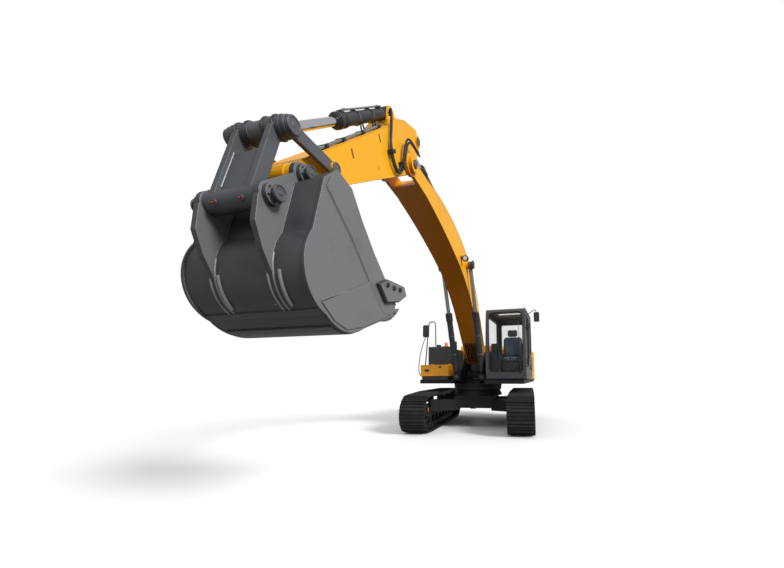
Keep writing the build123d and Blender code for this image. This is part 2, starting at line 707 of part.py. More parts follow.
with BuildPart() as cab_glass:
    # the bowed windscreen lies in its opening, a little below the cab's skin
    extrude(screen_outside, amount=(cab_outer - cab_inner) / 2, both=True)
    extrude(screen_inside, amount=cab_outer - cab_inner, both=True, mode=Mode.SUBTRACT)
    with BuildSketch(Plane.YZ.offset(cab_front - 220)):
        with Locations(screen[:2]):
            RectangleRounded(screen[2] - 2 * glass_gap, screen[3] - 2 * glass_gap, 110)
    extrude(amount=300, mode=Mode.INTERSECT)
    for y, (x, z, length, height) in ((cab_outer - glass_depth, rear_quarter), (cab_inner + glass_depth, right_pane)):
        with BuildSketch(side(y=y)):
            with Locations((x, z)):
                RectangleRounded(length - 2 * glass_gap, height - 2 * glass_gap, 60)
        extrude(amount=glass / 2, both=True)
    with BuildSketch(Plane.YZ.offset(cab_rear + glass_depth)):
        with Locations(rear_pane[:2]):
            RectangleRounded(rear_pane[2] - 2 * glass_gap, rear_pane[3] - 2 * glass_gap, 60)
    extrude(amount=glass / 2, both=True)
    with BuildSketch(Plane.XY.offset(cab_roof - glass_depth)):
        with Locations(roof_hatch[:2]):
            RectangleRounded(roof_hatch[2] - 2 * glass_gap, roof_hatch[3] - 2 * glass_gap, 50)
    extrude(amount=glass / 2, both=True)
keep("cab_glass", cab_glass)

door_hinge = (door_mid[0] - door_size[0] / 2 - 24, cab_outer + hinge_radius)
with BuildPart() as cab_door:
    with BuildSketch(side(y=cab_outer)):
        with Locations(door_mid):
            RectangleRounded(door_size[0], door_size[1], 55)
        with Locations(door_pane[:2]):
            RectangleRounded(door_pane[2], door_pane[3], 50, mode=Mode.SUBTRACT)
    extrude(amount=cab_wall - 10)
    with BuildSketch(Plane.XY.offset(door_mid[1] - 620 + 61), Plane.XY.offset(door_mid[1] + 520 - 61)):
        with Locations(door_hinge):
            Circle(hinge_radius)
            with Locations((26, -hinge_radius / 2)):
                Rectangle(46, hinge_radius)
    extrude(amount=60)
    # the handle
    with BuildSketch(side(y=cab_outer)):
        with Locations((door_mid[0] + door_size[0] / 2 - 45, 1640)):
            RectangleRounded(34, 150, 12)
    extrude(amount=-22)
keep("cab_door", cab_door)

with BuildPart() as door_glass:
    with BuildSketch(side(y=cab_outer - glass_depth)):
        with Locations(door_pane[:2]):
            RectangleRounded(door_pane[2] - 2 * glass_gap, door_pane[3] - 2 * glass_gap, 50)
    extrude(amount=glass / 2, both=True)
keep("door_glass", door_glass)

seat_x, inner_floor = 60.0, cab_floor + cab_wall
with BuildPart() as seat:
    with BuildSketch(side(y=cab_mid)):
        with BuildLine():
            Polyline(
                (seat_x + 260, inner_floor + 370), (seat_x + 270, inner_floor + 490), (seat_x - 150, inner_floor + 480),
                (seat_x - 260, inner_floor + 1060), (seat_x - 230, inner_floor + 1270), (seat_x - 330, inner_floor + 1280),
                (seat_x - 390, inner_floor + 1050), (seat_x - 300, inner_floor + 370), close=True,
            )
        make_face()
    extrude(amount=250, both=True)
    fillet(seat.edges().filter_by(Axis.Y), 30)
keep("seat", seat)

with BuildPart() as controls:
    with BuildSketch(Plane.XY.offset(inner_floor + FIT)):
        with Locations((seat_x - 20, cab_mid)):
            Rectangle(480, 420)
    extrude(amount=370 - 2 * FIT)
    # a console with its lever on each side of the seat
    for y in (cab_mid + 320, cab_mid - 320):
        with BuildSketch(Plane.XY.offset(inner_floor + FIT)):
            with Locations((seat_x - 20, y)):
                Rectangle(560, 110)
        extrude(amount=560)
        with BuildSketch(Plane.XY.offset(inner_floor + 500)):
            with Locations((seat_x + 200, y)):
                Circle(18)
        extrude(amount=230)
    with BuildSketch(Plane.XY.offset(inner_floor + FIT)):
        with Locations((seat_x - 20, cab_mid)):
            Rectangle(300, 640)
    extrude(amount=120)
    # the travel pedals' stand, and the monitor's post beside the windscreen
    with BuildSketch(Plane.XY.offset(inner_floor + FIT)):
        with Locations((seat_x + 400, cab_mid)):
            Rectangle(560, 60)
        with Locations((seat_x + 640, cab_mid)):
            Rectangle(160, 260)
    extrude(amount=60)
    with BuildSketch(Plane.XY.offset(inner_floor + 60)):
        with Locations((seat_x + 640, cab_mid - 50), (seat_x + 640, cab_mid + 50)):
            Circle(14)
    extrude(amount=560)
    with BuildSketch(Plane.XY.offset(inner_floor + FIT)):
        with Locations((seat_x + 700, cab_inner + cab_wall + 90)):
            Rectangle(90, 120)
    extrude(amount=720)
    with BuildSketch(Plane.XY.offset(inner_floor + 620)):
        with Locations((seat_x + 690, cab_inner + cab_wall + 110)):
            Rectangle(70, 200)
    extrude(amount=200)
    with BuildSketch(Plane.XY.offset(inner_floor + FIT)):
        with Locations((seat_x + 360, cab_inner + cab_wall + 90)):
            Rectangle(680, 40)
    extrude(amount=40)
    with BuildSketch(Plane.XY.offset(inner_floor + FIT)):
        with Locations((seat_x + 100, cab_mid - 320)):
            Rectangle(160, 200)
    extrude(amount=40)
keep("controls", controls)

# ------------------------------------------------------------------- handrails
rail = 17.0
with BuildPart() as handrails:
    # the loop beside the tank, and the rail that holds the left mirror
    for route, bend in (
        (((tank_front - 60, -1480, 1260), (tank_front - 20, -1330, 2830), (tank_front - 20, -1140, 2830),
          (tank_front - 60, -1140, 2110 + 3 * FIT)), 90),
    ):
        with BuildLine() as path:
            FilletPolyline(*route, radius=bend)
        with BuildSketch(Plane(path.line @ 0, z_dir=path.line % 0)):
            Circle(rail)
        sweep(path=path.line)
    with BuildSketch(side((tank_front - 60, 1285), y=-1480 + rail)):
        Rectangle(60, 50)
    extrude(amount=-1480 - deck_right + rail + 10)
keep("handrails", handrails)

with BuildPart() as mirrors:
    # left: on a bracket off the cab's front pillar.  right: on the tall loop.
    with BuildLine() as path:
        FilletPolyline(
            (cab_front - 140, cab_outer + 4, 2760), (cab_front - 10, 1700, 2880), (cab_front + 20, 1720, 2780), radius=40
        )
    with BuildSketch(Plane(path.line @ 0, z_dir=path.line % 0)):
        Circle(9)
    sweep(path=path.line)
    with BuildSketch(Plane.YZ.offset(cab_front)):
        with Locations((1720, 2690)):
            RectangleRounded(130, 230, 30)
    extrude(amount=45)
    with BuildSketch(Plane.YZ.offset(tank_front + 10)):
        with Locations((-1400, 2560)):
            RectangleRounded(170, 340, 40)
    extrude(amount=55)
    with BuildSketch(Plane.YZ.offset(tank_front + 10)):
        with Locations((-1356, 2560)):
            Circle(22)
    extrude(amount=rail + 2 * FIT - 37)
keep("mirrors", mirrors)

# ------------------------------------------------------------------------ boom
# the boom's top is two arcs, from the arm's end and from the foot
knee = [share * boom_length for share in (0.236, 0.367, 0.525, 0.717)]  # along the boom's underside
crown = [share * boom_length for share in (0.744, 0.542, 0.376, 0.219)]  # along its top, from the tip
boom_top = (
    ThreePointArc((boom_length - 516, 400), (crown[0], 850), (crown[1], 1140)),
    ThreePointArc((crown[1], 1140), (crown[2], 1120), (crown[3], 830)),
)
head_inner = arm_half + 5.0
lug_half = 66.0  # half the space for the arm cylinder's eye
with BuildPart() as boom:
    with BuildSketch(boom_side()) as boom_outline:
        with BuildLine():
            Line((60, -150), (knee[0], 300))
            ThreePointArc((knee[0], 300), (knee[1], 490), (knee[2], 530))
            ThreePointArc((knee[2], 530), (knee[3], 362), (boom_length - 616, 118))
            Line((boom_length - 616, 118), (boom_length - 16, -120))
            Line((boom_length - 16, -120), (boom_length + 74, 120))
            Line((boom_length + 74, 120), (boom_length - 516, 400))
            add(boom_top)
            Line((crown[3], 830), (-60, 150))
            Line((-60, 150), (60, -150))
        make_face()
        Circle(165)
        with Locations((boom_length, 0)):
            Circle(165)
    extrude(amount=boom_half, both=True)
    with BuildSketch(boom_side()) as hollow:
        with BuildLine():
            Line((420, 10), (knee[0], 300 + boom_plate))
            ThreePointArc((knee[0], 300 + boom_plate), (knee[1], 490 + boom_plate), (knee[2], 530 + boom_plate))
            ThreePointArc((knee[2], 530 + boom_plate), (knee[3], 362 + boom_plate), (boom_length - 636, 140))
            Line((boom_length - 636, 140), (boom_length - 636, 445))
            ThreePointArc((boom_length - 636, 445), (crown[0], 850 - boom_plate), (crown[1], 1140 - boom_plate))
            ThreePointArc((crown[1], 1140 - boom_plate), (crown[2], 1120 - boom_plate), (crown[3], 830 - boom_plate))
            Line((crown[3], 830 - boom_plate), (420, 385))
            Line((420, 385), (420, 10))
        make_face()
    extrude(amount=boom_half - boom_plate, both=True, mode=Mode.SUBTRACT)
    # fork for the arm's head
    with BuildSketch(boom_side()):
        Polygon(
            (boom_length - 480, 430), (boom_length - 200, -300), (boom_length + 700, -300),
            (boom_length + 700, 1000), (boom_length - 480, 1000), align=None,
        )
    extrude(amount=head_inner, both=True, mode=Mode.SUBTRACT)
    # bosses outside the fork and at the foot, and the pin that the arm turns on
    with BuildSketch(boom_side(boom_half + 25), boom_side(-boom_half - 25)):
        with Locations((boom_length, 0)):
            Circle(125)
    extrude(amount=28, both=True)
    with BuildSketch(boom_side()):
        with Locations((boom_length, 0)):
            Circle(50)
    extrude(amount=boom_half + 60, both=True)
    with BuildSketch(boom_side()):
        Circle(150)
    extrude(amount=cheek_inner - RUN, both=True)
    with BuildSketch(boom_side()):
        Circle(55 + BORE)
    extrude(amount=cheek_inner, both=True, mode=Mode.SUBTRACT)
    # lugs for the arm cylinder
    with BuildSketch(boom_side(lug_half + 20), boom_side(-lug_half - 20)):
        with Locations(arm_cyl_base):
            Circle(95)
        with Locations((arm_cyl_base[0] - 130, 1120)):
            Rectangle(420, 20)
        make_hull()
    extrude(amount=18, both=True)
    with BuildSketch(boom_side()):
        with Locations(arm_cyl_base):
            Circle(45)
    extrude(amount=lug_half + 45, both=True)
    # bosses that the boom cylinders' rods turn against
    with BuildSketch(boom_side()):
        with Locations(boom_cyl_rod):
            Circle(95)
    extrude(amount=boom_cyl_y - eye_half - RUN, both=True)
keep("boom", boom)

# ------------------------------------------------------------------- cylinders
upper_rod = polar(foot, boom_angle, boom_cyl_rod)
arm_base = polar(foot, boom_angle, arm_cyl_base)
arm_rod_pin = polar(arm_pivot, arm_angle, arm_cyl_rod)
bucket_base = polar(arm_pivot, arm_angle, bucket_cyl_base)
# name, base and end pins' x z, y of the middles, eye's half width and radius, pin's, tube's and
# rod's radius, length from the base pin to the bore's floor and to the gland's face, length from
# the rod's eye to its piston
cylinders = (
    ("boom", boom_cyl_base, upper_rod, (boom_cyl_y, -boom_cyl_y), eye_half, 80, 40, 70, boom_rod_radius, 220, 1690, 1630),
    ("arm", arm_base, arm_rod_pin, (0.0,), 60.0, 85, 45, 82, 48, 200, 2300, 2300),
    ("bucket", bucket_base, upper_pin, (0.0,), 60.0, 85, 40, 74, 47, 200, 1440, 1600),
)
for name, base, end, rows, half, eye, pin, tube, rod, bore_floor, gland_end, reach in cylinders:
    length, angle = bearing(base, end)
    with BuildPart() as barrel:
        for y in rows:
            axis = side(base, angle, y)
            with BuildSketch(axis):
                Circle(eye)
            extrude(amount=half, both=True)
            with BuildSketch(axis):
                with BuildLine():
                    Polyline(
                        (eye - 40, 0), (eye - 40, half - 6), (eye + 30, half - 6), (bore_floor - 10, tube),
                        (gland_end - 190, tube),
                        (gland_end - 190, tube + 9), (gland_end - 30, tube + 9), (gland_end - 30, tube + 2),
                        (gland_end, tube - 6),
                        (gland_end, rod + FIT), (gland_end - 80, rod + FIT), (gland_end - 80, tube - 12),
                        (bore_floor, tube - 12), (bore_floor, 0), close=True,
                    )
                make_face()
            revolve(axis=Axis(axis.origin, axis.x_dir))
            with BuildSketch(axis):
                Circle(pin + BORE)
            extrude(amount=half, both=True, mode=Mode.SUBTRACT)
    keep(f"{name}_cylinder_barrel", barrel)
    with BuildPart() as piston_rod:
        for y in rows:
            axis = side(end, angle, y)
            rod_eye, foot_x = eye - 2, -reach
            with BuildSketch(axis):
                Circle(rod_eye)
            extrude(amount=half, both=True)
            # the neck, the rod and the piston on its far end
            with BuildSketch(axis):
                with BuildLine():
                    Polyline(
                        (-rod_eye + 30, 0), (-rod_eye + 30, half - 8), (-rod_eye - 25, half - 8),
                        (-rod_eye - 60, rod), (foot_x + 50, rod),
                        (foot_x + 50, tube - 12 - FIT), (foot_x, tube - 12 - FIT), (foot_x, 0), close=True,
                    )
                make_face()
            revolve(axis=Axis(axis.origin, axis.x_dir))
    keep(f"{name}_cylinder_rod", piston_rod)

# ------------------------------------------------------------------------- arm
tip_half = ear_inner - RUN
with BuildPart() as arm:
    with BuildSketch(arm_side()):
        Polygon(
            (-690, 270), (-560, 150), (-30, -118), (arm_length - 730, -124), (arm_length - 160, -112),
            (arm_length + 70, -70), (arm_length + 70, 70), (arm_length - 100, 110), (arm_length - 480, 178),
            (430, 500), (200, 600), (-200, 600), (-640, 490), align=None,
        )
        with Locations((arm_length, 0)):
            Circle(tip_radius)
        with Locations(arm_cyl_rod):
            Circle(110)
    extrude(amount=arm_half, both=True)
    with BuildSketch(arm_side()):
        Polygon(
            (-100, -70), (arm_length - 730, -110), (arm_length - 630, -100), (arm_length - 630, 190), (430, 486),
            (200, 586), (-100, 586), align=None,
        )
        Circle(135, mode=Mode.SUBTRACT)
    extrude(amount=arm_half - arm_plate, both=True, mode=Mode.SUBTRACT)
    # the tail is two plates, with the cylinder's eye between them
    with BuildSketch(arm_side()):
        Polygon((-900, -200), (-160, -200), (-160, 560), (-900, 560), align=None)
        Circle(135, mode=Mode.SUBTRACT)
    extrude(amount=arm_half - 30, both=True, mode=Mode.SUBTRACT)
    with BuildSketch(arm_side(arm_half), arm_side(-arm_half)):
        with Locations(arm_cyl_rod):
            Circle(80)
    extrude(amount=15, both=True)
    with BuildSketch(arm_side((arm_half + 62) / 2), arm_side(-(arm_half + 62) / 2)):
        with Locations(arm_cyl_rod):
            Circle(80)
    extrude(amount=(arm_half - 62) / 2 - RUN, both=True)
    with BuildSketch(arm_side()):
        Circle(130)
    extrude(amount=head_inner - RUN, both=True)
    with BuildSketch(arm_side()):
        Circle(50 + BORE)
    extrude(amount=head_inner, both=True, mode=Mode.SUBTRACT)
    # tip boss for the bucket's hinge, and the guide links' pin
    with BuildSketch(arm_side()):
        with Locations((arm_length, 0)):
            Circle(98)
    extrude(amount=tip_half, both=True)
    with BuildSketch(arm_side()):
        with Locations((arm_length, 0)):
            Circle(45 + BORE)
    extrude(amount=tip_half, both=True, mode=Mode.SUBTRACT)
    with BuildSketch(arm_side()):
        with Locations(guide_foot):
            Circle(72)
    extrude(amount=arm_half + 50, both=True)
    with BuildSketch(arm_side()):
        with Locations(guide_foot):
            Circle(38)
    extrude(amount=300, both=True)
    cap_mid = arm_half + 50 + RUN + 40 + RUN + 12
    with BuildSketch(arm_side(cap_mid), arm_side(-cap_mid)):
        with Locations(guide_foot):
            Circle(62)
    extrude(amount=12, both=True)
    # lugs for the bucket cylinder
    with BuildSketch(arm_side(60 + RUN + 16), arm_side(-60 - RUN - 16)):
        with Locations(bucket_cyl_base):
            Circle(80)
        with Locations((bucket_cyl_base[0] + 10, 575)):
            Rectangle(340, 40)
        make_hull()
    extrude(amount=16, both=True)
    with BuildSketch(arm_side()):
        with Locations(bucket_cyl_base):
            Circle(40)
    extrude(amount=110, both=True)
keep("arm", arm)

# --------------------------------------------------------------- bucket linkage
link_y = arm_half + 50 + RUN + 20  # middle of a guide link
with BuildPart() as guide_links:
    length, angle = bearing(guide_pin, upper_pin)
    with BuildSketch(side(guide_pin, angle, link_y), side(guide_pin, angle, -link_y)):
        Circle(70)
        with Locations((guide_length, 0)):
            Circle(85)
        with Locations((guide_length / 2, 0)):
            Rectangle(guide_length, 116)
        Circle(38 + BORE, mode=Mode.SUBTRACT)
    extrude(amount=20, both=True)
    # caps on the upper pin
    with BuildSketch(side(guide_pin, angle, link_y + 32), side(guide_pin, angle, -link_y - 32)):
        with Locations((guide_length, 0)):
            Circle(78)
    extrude(amount=12, both=True)
keep("guide_links", guide_links)

h_top_half = link_y - 20 - RUN
eye_gap = 60.0 + RUN  # from the middle to the bosses beside the bucket cylinder's eye
with BuildPart() as h_link:
    length, angle = bearing(lower_pin, upper_pin)
    with BuildSketch(side(lower_pin, angle)):
        Circle(86)
    extrude(amount=tip_half, both=True)
    # side plates, waisted on the side that passes the arm's tip
    with BuildSketch(side(lower_pin, angle, 165), side(lower_pin, angle, -165)):
        Circle(84)
        with Locations((h_length, 0)):
            Circle(88)
        Polygon(
            (0, -84), (h_length, -88), (h_length, 88), (h_length - 120, 24), (200, 24), (60, 76), (0, 84), align=None,
        )
    extrude(amount=25, both=True)
    top_mid, top_wide = (h_top_half + eye_gap) / 2, h_top_half - eye_gap
    with BuildSketch(side(lower_pin, angle, top_mid), side(lower_pin, angle, -top_mid)):
        with Locations((h_length, 0)):
            Circle(92)
    extrude(amount=top_wide / 2, both=True)
    # the plate across, with its foot on the lower boss
    with BuildSketch(side(lower_pin, angle)):
        with Locations((h_length / 2 - 105, -38)):
            Rectangle(h_length - 290, 24)
    extrude(amount=150, both=True)
    with BuildSketch(side(lower_pin, angle)):
        Circle(45 + BORE)
    extrude(amount=tip_half, both=True, mode=Mode.SUBTRACT)
keep("h_link", h_link)

# ---------------------------------------------------------------------- bucket
with BuildPart() as bucket:
    with BuildSketch(bucket_side()) as scoop:
        with BuildLine():
            Line((40, -60), (0, 140))
            Line((0, 140), (170, 560))
            ThreePointArc((170, 560), (330, 880), (660, 935))
            ThreePointArc((660, 935), (930, 870), (1110, 680))
            Line((1110, 680), (1460, 195))
            Line((1460, 195), (1440, 60))
            Line((1440, 60), (820, 0))
            Line((820, 0), (500, -60))
            Line((500, -60), (235, -135))
            Line((235, -135), (40, -60))
        make_face()
    extrude(amount=bucket_half, both=True)
    with BuildSketch(bucket_side()) as inside:
        with BuildLine():
            Line((180, -300), (30, 130))
            Line((30, 130), (194, 555))
            ThreePointArc((194, 555), (345, 862), (660, 912))
            ThreePointArc((660, 912), (915, 852), (1090, 668))
            Line((1090, 668), (1480, 110))
            Line((1480, 110), (1600, -300))
            Line((1600, -300), (180, -300))
        make_face()
    extrude(amount=bucket_half - bucket_plate, both=True, mode=Mode.SUBTRACT)
    # side plates stand a little proud of the wrapper
    rim_mid = bucket_half - bucket_plate / 2
    with BuildSketch(bucket_side(rim_mid), bucket_side(-rim_mid)):
        add(scoop.sketch_local)
        offset(amount=rim_proud)
    extrude(amount=bucket_plate / 2, both=True)
    # a strip along each side plate's front edge, and a thinner plate over its heel
    strip_mid, heel_mid = bucket_half + strip_thick / 2, bucket_half + strip_thick / 2 - 1
    with BuildSketch(bucket_side(strip_mid), bucket_side(-strip_mid)):
        Polygon(
            (22, 60), (235, -132), (500, -58), (820, 2), (1436, 62), (1452, 150), (1420, 240), (1275, 338),
            (504, 201), (38, 173), align=None,
        )
    extrude(amount=strip_thick / 2, both=True)
    with BuildSketch(bucket_side(heel_mid), bucket_side(-heel_mid)):
        Polygon(
            (560, 915), (930, 265), (1100, 250), (1330, 230), (1400, 268), (1106, 676), (930, 864), (760, 920),
            align=None,
        )
    extrude(amount=strip_thick / 2 - 1, both=True)
    # two layers of wear plate round the heel
    for thick, half, x0, x1 in ((10, bucket_half - 30, 590, 1300), (24, bucket_half - 46, 800, 1180)):
        with BuildSketch(bucket_side()):
            add(scoop.sketch_local)
            offset(amount=thick)
            Polygon((x0, 740), (x1, 300), (x1 + 500, 900), (x0, 1200), align=None, mode=Mode.INTERSECT)
            add(scoop.sketch_local, mode=Mode.SUBTRACT)
        extrude(amount=half, both=True)
    # the cutting edge
    with BuildSketch(lip_side()):
        Polygon((-240, -4), (-222, 18), (0, 18), (34, -8), (34, -20), (-10, -33), (-240, -26), align=None)
    extrude(amount=bucket_half, both=True)
    # room between the ears for the arm's tip
    with BuildSketch(bucket_side()):
        Circle(tip_room)
    extrude(amount=ear_inner, both=True, mode=Mode.SUBTRACT)
    # two ears, each holding an end of both pins
    with BuildSketch(bucket_side(ear_inner + ear_thick / 2), bucket_side(-ear_inner - ear_thick / 2)):
        Polygon(
            (-60, 80), (-158, 400), (-130, 540), (-30, 700), (135, 800), (430, 915), (600, 925),
            (330, 868), (172, 560), (10, 150), (80, 60), align=None,
        )
        Circle(100)
        with Locations(link_pin):
            Circle(100)
    extrude(amount=ear_thick / 2, both=True)
    with BuildSketch(bucket_side(ear_inner + ear_thick), bucket_side(-ear_inner - ear_thick)):
        Circle(80)
        with Locations(link_pin):
            Circle(80)
    extrude(amount=40, both=True)
    with BuildSketch(bucket_side()):
        Circle(45)
        with Locations(link_pin):
            Circle(45)
    extrude(amount=365, both=True)
keep("bucket", bucket)

with BuildPart() as bucket_teeth:
    with BuildSketch(*[lip_side(y) for y in tooth_rows]):
        # an adapter astride the cutting edge
        Polygon(
            (-160, -24), (-150, 30), (-110, 46), (0, 50), (70, 34), (110, 26), (110, -36), (70, -46), (0, -66),
            (-100, -62), align=None,
        )
    extrude(amount=42, both=True)
    with BuildSketch(*[lip_side(y) for y in tooth_rows]):
        Polygon((100, 34), (160, 20), (240, -14), (244, -24), (150, -40), (100, -46), align=None)
    extrude(amount=34, both=True)
    add(bucket.part, mode=Mode.SUBTRACT)
keep("bucket_teeth", bucket_teeth)

cutter_thick = 45.0
with BuildPart() as side_cutters:
    cutter_mid = bucket_half + strip_thick + FIT + cutter_thick / 2
    with BuildSketch(bucket_side(cutter_mid), bucket_side(-cutter_mid)):
        Polygon((1010, 215), (1095, 55), (1410, -180), (1520, -140), (1425, 50), (1240, 245), align=None)
    extrude(amount=cutter_thick / 2, both=True)
    chamfer(side_cutters.edges().filter_by(Axis.Y, reverse=True).group_by(Axis.Y)[-1], 12)
    chamfer(side_cutters.edges().filter_by(Axis.Y, reverse=True).group_by(Axis.Y)[0], 12)
keep("side_cutters", side_cutters)

# -------------------------------------------------------- hoses and work lamp
hose_radius, hose_rise = 15.0, 20.0


def machine_points(frame, rows):
    """Rows of x, z and y in a side view's frame as machine points."""
    return [frame.from_local_coords((x, z, -y)) for x, z, y in rows]


with BuildPart() as arm_hoses:
    # from the bucket cylinder's base, down the arm's left face in a loop, and up to the boom
    for lift, out in ((0, 0), (46, 8)):
        loop = (
            (215, 640 + lift / 2, 140), (330, 640 + lift, 215 + out), (470, 440, 222 + out),
            (575 + lift, 180, 222 + out), (520 + lift, -40 - lift / 2, 222 + out), (330, 20 - lift, 230 + out),
            (170, 240 - lift, 262 + out), (40, 330 - lift, 274 + out), (-130, 262 - lift, 278 + out),
            (-300, 150 - lift, 278 + out),
        )
        with BuildLine() as route:
            Spline(*machine_points(arm_side(), loop))
        with BuildSketch(Plane(route.line @ 0, z_dir=route.line % 0)):
            Circle(hose_radius)
        sweep(path=route.line)
    # clamps on the arm's side
    with BuildSketch(arm_side(arm_half + FIT)):
        with Locations((330, -3)):
            Rectangle(50, 110)
        with Locations((598, 180)):
            Rectangle(110, 50)
    extrude(amount=-75)
keep("arm_hoses", arm_hoses)

with BuildPart() as boom_lines:
    # two lines along the boom's top from the arm's end down to the foot, and their clamps
    crest = [(line @ share) for line in boom_top for share in (0.12, 0.34, 0.56, 0.78)]
    clamp_rise = 2 * hose_rise
    for y in (130.0, 185.0):
        over_top = [(p.X, p.Y + hose_rise + hose_radius, y) for p in crest]
        with BuildLine() as route:
            Spline(*machine_points(boom_side(), over_top))
        with BuildSketch(Plane(route.line @ 0, z_dir=route.line % 0)):
            Circle(hose_radius)
        sweep(path=route.line)
    with BuildSketch(boom_side(157.5)):
        for line, share in ((boom_top[0], 0.23), (boom_top[0], 0.67), (boom_top[1], 0.23), (boom_top[1], 0.67)):
            with Locations(tuple(line @ share)[:2]):
                Circle(clamp_rise + hose_radius)
    extrude(amount=55, both=True)
    add(boom.part, mode=Mode.SUBTRACT)
keep("boom_lines", boom_lines)

lamp_seat = (0.535 * boom_length, 760.0)  # on the boom's left face, in its own frame
with BuildPart() as boom_lamp:
    with BuildSketch(boom_side(boom_half + FIT)):
        with Locations(lamp_seat):
            Rectangle(90, 60)
    extrude(amount=-10)
    with BuildSketch(boom_side(boom_half + 10)):
        with Locations(lamp_seat):
            Rectangle(24, 60)
    extrude(amount=-30)
    lamp_face = Plane(
        boom_side(boom_half + 100).from_local_coords((lamp_seat[0] - 40, lamp_seat[1], 0)), z_dir=(0.98, 0, -0.2)
    )
    with BuildSketch(lamp_face):
        Circle(62)
    extrude(amount=70, taper=-6)
    with BuildSketch(lamp_face.offset(64)):
        Circle(58)
    extrude(amount=20, mode=Mode.SUBTRACT)
keep("boom_lamp", boom_lamp)

os.makedirs("parts", exist_ok=True)
for name, piece in pieces.items():
    export_step(piece, f"parts/{name}.step")
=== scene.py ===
"""Finishes and fittings of a crawler excavator of the 21 tonne class.

The machine's solids come in as a fixed frame, in metres, +X towards the bucket,
+Y to the cab's side, +Z up.  This script paints them and adds what is bolted,
welded or stuck on.
"""

from __future__ import annotations

import json
import logging
import math
from dataclasses import dataclass
from enum import Enum
from typing import Iterable, Sequence

import bpy
import numpy as np
from mathutils import Matrix, Vector

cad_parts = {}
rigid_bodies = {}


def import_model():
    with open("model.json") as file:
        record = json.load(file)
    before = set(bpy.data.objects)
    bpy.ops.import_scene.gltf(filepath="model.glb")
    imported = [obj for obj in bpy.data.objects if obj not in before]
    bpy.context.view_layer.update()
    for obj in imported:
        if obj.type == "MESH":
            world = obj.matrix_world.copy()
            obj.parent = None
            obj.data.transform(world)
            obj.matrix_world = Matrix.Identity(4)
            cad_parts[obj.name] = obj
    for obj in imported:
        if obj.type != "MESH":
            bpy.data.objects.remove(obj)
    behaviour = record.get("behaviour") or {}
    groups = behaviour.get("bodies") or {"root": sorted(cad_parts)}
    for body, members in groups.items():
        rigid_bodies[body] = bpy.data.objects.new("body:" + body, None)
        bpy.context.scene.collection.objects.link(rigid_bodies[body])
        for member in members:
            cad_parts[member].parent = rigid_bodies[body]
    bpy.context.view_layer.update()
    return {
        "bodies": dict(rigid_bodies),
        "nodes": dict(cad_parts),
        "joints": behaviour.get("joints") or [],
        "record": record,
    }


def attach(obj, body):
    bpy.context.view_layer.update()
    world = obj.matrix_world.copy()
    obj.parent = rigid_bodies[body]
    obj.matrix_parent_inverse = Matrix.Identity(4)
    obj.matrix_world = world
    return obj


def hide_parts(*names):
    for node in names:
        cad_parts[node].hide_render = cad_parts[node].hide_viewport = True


LOG = logging.getLogger("excavator")
Point = tuple[float, float, float]
Colour = tuple[float, float, float]
Array = np.ndarray
Skin = tuple[Array, Array]


# ---------------------------------------------------------------- shader maths
class Signal:
    """A shader socket that Python's operators work on, one Math node each."""

    def __init__(self, board: "Board", socket: bpy.types.NodeSocket) -> None:
        """Wrap a socket of a board's node tree."""
        self.board, self.socket = board, socket

    def _maths(self, operation: str, *operands: "Signal | float") -> "Signal":
        """Add a Math node.

        Args:
            operation: Blender's name of the operation.
            operands: its inputs, in order.

        Returns:
            The node's value.
        """
        return self.board.node("ShaderNodeMath", {"operation": operation}, dict(enumerate(operands)))

    def __add__(self, other: "Signal | float") -> "Signal":
        """Sum."""
        return self._maths("ADD", self, other)

    def __radd__(self, other: float) -> "Signal":
        """Sum, reflected."""
        return self._maths("ADD", other, self)

    def __sub__(self, other: "Signal | float") -> "Signal":
        """Difference."""
        return self._maths("SUBTRACT", self, other)

    def __rsub__(self, other: float) -> "Signal":
        """Difference, reflected."""
        return self._maths("SUBTRACT", other, self)

    def __mul__(self, other: "Signal | float") -> "Signal":
        """Product."""
        return self._maths("MULTIPLY", self, other)

    def __rmul__(self, other: float) -> "Signal":
        """Product, reflected."""
        return self._maths("MULTIPLY", other, self)

    def __abs__(self) -> "Signal":
        """Magnitude."""
        return self._maths("ABSOLUTE", self)

    def sine(self) -> "Signal":
        """Sine of the value in radians."""
        return self._maths("SINE", self)

    def clipped(self) -> "Signal":
        """The value held between 0 and 1."""
        return self.board.node("ShaderNodeClamp", {}, {"Value": self})

    def step(self, start: float, end: float) -> "Signal":
        """Smooth rise from 0 to 1.

        Args:
            start: value where it leaves 0.
            end: value where it reaches 1.

        Returns:
            The mask.
        """
        settings = {"interpolation_type": "SMOOTHSTEP"}
        return self.board.node(
            "ShaderNodeMapRange", settings, {"Value": self, "From Min": start, "From Max": end}
        )


